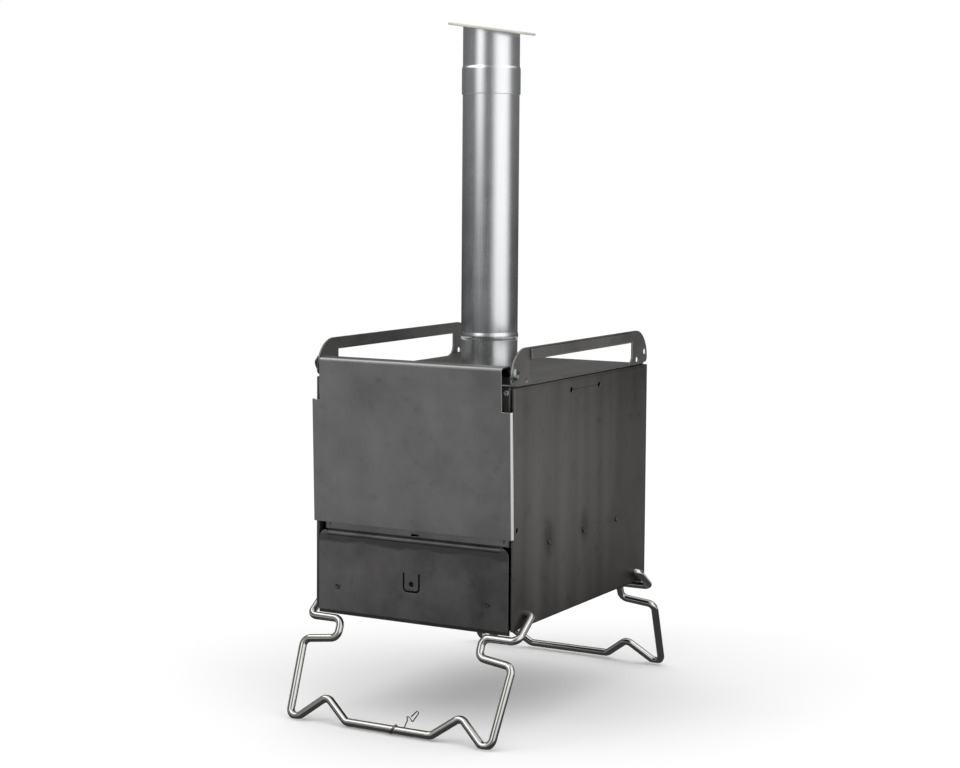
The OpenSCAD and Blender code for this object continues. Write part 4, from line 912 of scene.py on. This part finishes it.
# Polished dome steel: mirrors the room, faintly mottled every 3 mm
DOME_MOTTLE = 1 / 300
dome_steel = metal("polished_dome_steel", "#8d908f", "#777a79", 0.17,
                   along("Z", DOME_MOTTLE, DOME_MOTTLE))
a = np.linspace(0, np.pi / 2, 14)
dome = np.stack([DOME_RADIUS * np.cos(a), DOME_FOOT + (CAP_HEIGHT - DOME_FOOT) * np.sin(a)], -1)
dome[-1, 0] = 0.0
bore = ROD_RADIUS + ROD_GAP
profile = np.vstack([[[bore, 0.0]], BRIM, dome, [[0.0, BORE_DEPTH], [bore, BORE_DEPTH]]])
caps = [(turned(profile, 72, (side * CAP_X, ROD_Y, ROD_Z), (side, 0, 0)), True)
        for side in (-1, 1)]
solid("hinge_cap_domes", caps, dome_steel, "stove_body", "hinge_caps")

# Rivets
# Blind steel rivets: a domed ring that is pulled down on the sheet, with the broken pin in its
# middle and a swollen tail behind. Three on each side hold the rails, two the drawer's face.

RIVET_RADIUS, HEAD_HEIGHT = 0.0016, 0.0011
RING_MIDDLE, RING_HALF, RING_FOOT = 0.0019, 0.0009, 0.35
HEAD_RADIUS, BRIM_UP = RING_MIDDLE + RING_HALF, HEAD_HEIGHT * 0.3
PIN = [[0, 0.0004], [0.0007, 0.0004], [0.0009, 0.0002]]
TAIL_RADIUS, TAIL_HEIGHT = 0.0023, 0.001


def rivet(place, outward, grip):
    """A blind rivet's grid: the profile from the pin's middle over the domed ring, down the shank
    and round the tail, turned about the outward direction."""
    a = np.linspace(0, np.pi, 9)
    ring = np.stack([RING_MIDDLE - RING_HALF * np.cos(a),
                     HEAD_HEIGHT * (RING_FOOT + (1 - RING_FOOT) * np.sin(a))], -1)
    ring[-1] = [HEAD_RADIUS, BRIM_UP]
    rows = np.vstack([PIN, ring,
                      [[HEAD_RADIUS, 0], [RIVET_RADIUS, 0], [RIVET_RADIUS, -grip],
                       [TAIL_RADIUS, -grip], [TAIL_RADIUS * 0.9, -grip - TAIL_HEIGHT * 0.7],
                       [TAIL_RADIUS * 0.5, -grip - TAIL_HEIGHT], [0, -grip - TAIL_HEIGHT]]])
    return turned(rows, 32, place, outward)


# Oiled rivets: dark and satin like the sheets round them, scratched as finely as the wire
dark_rivet = metal("oiled_rivet_steel", "#6f6c6c", "#403e3e", 0.34,
                   along("Z", SCRATCH_GAP, SCRATCH_GAP))
rails = [(rivet((side * BODY_HALF, i * RAIL_RIVET_STEP, RAIL_RIVET_Z), (side, 0, 0), SHEET * 2),
          False) for side in (-1, 1) for i in (-1, 0, 1)]
solid("rail_rivet_heads", rails, dark_rivet, "stove_body", "grate_rail_rivets")
faces = [(rivet((side * FACE_RIVET_X, FACE_FRONT, FACE_RIVET_Z), (0, -1, 0), SHEET + TRAY_SHEET),
          False) for side in (-1, 1)]
solid("drawer_rivet_heads", faces, dark_rivet, "drawer", "drawer_rivets")

# Dulled rivets of the back: grey, paler than the oiled ones, mottled every 1.4 mm
RIVET_MOTTLE = 1 / 700
rivet_steel = metal("dulled_rivet_steel", "#96938f", "#6d6a67", 0.30,
                    along("Z", RIVET_MOTTLE, RIVET_MOTTLE))
finish_node("back_panel_rivets", rivet_steel)

# Frame screws and nuts
# Two zinc plated pan-head screws with a cross recess go through the inner frame's face and the
# cover's front lip behind it, each into a hexagon nut.

SCREW_HEAD, SCREW_HEAD_HEIGHT, SCREW_RADIUS, SCREW_LENGTH = 0.003, 0.0016, 0.00145, 0.0051
SCREW_X, SCREW_Z = 0.1029, BODY_UP + 0.2336
FRAME_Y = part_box("front_frame")[0].y
SCREW_CHAMFER, CROWN_FOOT, CROWN_STEPS = 0.0003, 0.55, 22
CROSS_HALF, CROSS_SOFT, CROSS_REACH, CROSS_END = 0.00055, 0.0003, 0.0019, 0.0004
CROSS_DEPTH = 0.0010
NUT_WIDTH, NUT_HEIGHT, NUT_EDGE, NUT_GAP = 0.0055, 0.0024, 0.0003, 0.0001
COVER_SHEET = 0.0015

# Zinc plated steel: the palest metal on the stove, neutral and semi-gloss
screw_steel = metal("zinc_plated_steel", "#eeefed", "#d6d7d5", 0.24,
                    along("Z", MOTTLE_GAP, MOTTLE_GAP), metallic=0.8)
r = np.linspace(0, 1, CROWN_STEPS)
crown = np.stack([SCREW_HEAD * r, SCREW_HEAD_HEIGHT * (
    CROWN_FOOT + (1 - CROWN_FOOT) * np.sqrt(1 - r ** 2))], -1)
profile = np.vstack([crown, [
    [SCREW_HEAD, 0], [SCREW_RADIUS, 0], [SCREW_RADIUS, SCREW_CHAMFER - SCREW_LENGTH],
    [SCREW_RADIUS - SCREW_CHAMFER, -SCREW_LENGTH], [0, -SCREW_LENGTH]]])
a = np.linspace(0, 2 * np.pi, 48, endpoint=False)
flat = NUT_WIDTH / 2 / np.cos(np.mod(a + np.pi / 6, np.pi / 3) - np.pi / 6)
chamfered = np.minimum(flat, NUT_WIDTH * 0.49)
hole = np.full_like(a, SCREW_RADIUS + NUT_GAP)
radii = np.stack([hole, chamfered, flat, flat, chamfered, hole])
depth = np.array([0, 0, NUT_EDGE, NUT_HEIGHT - NUT_EDGE, NUT_HEIGHT, NUT_HEIGHT])[:, None]
nut_y = FRAME_Y + SHEET + COVER_SHEET + depth
screws, nuts = [], []
for side in (-1, 1):
    grid = turned(profile, 96, (side * SCREW_X, FRAME_Y, SCREW_Z), (0, -1, 0))
    head = grid[:CROWN_STEPS]
    x, z = np.abs(head[..., 0] - side * SCREW_X), np.abs(head[..., 2] - SCREW_Z)
    cross = smooth_step((CROSS_HALF - np.minimum(x, z)) / CROSS_SOFT)
    head[..., 1] += CROSS_DEPTH * cross * smooth_step((CROSS_REACH - np.maximum(x, z)) / CROSS_END)
    screws.append((grid, False))
    nut = np.broadcast_arrays(side * SCREW_X + radii * np.cos(a), nut_y,
                              SCREW_Z + radii * np.sin(a))
    nuts.append((np.stack(nut, -1), True))
solid("frame_screw_heads", screws, screw_steel, "stove_body", "frame_screws")
solid("frame_hex_nuts", nuts, screw_steel, "stove_body", "frame_nuts")
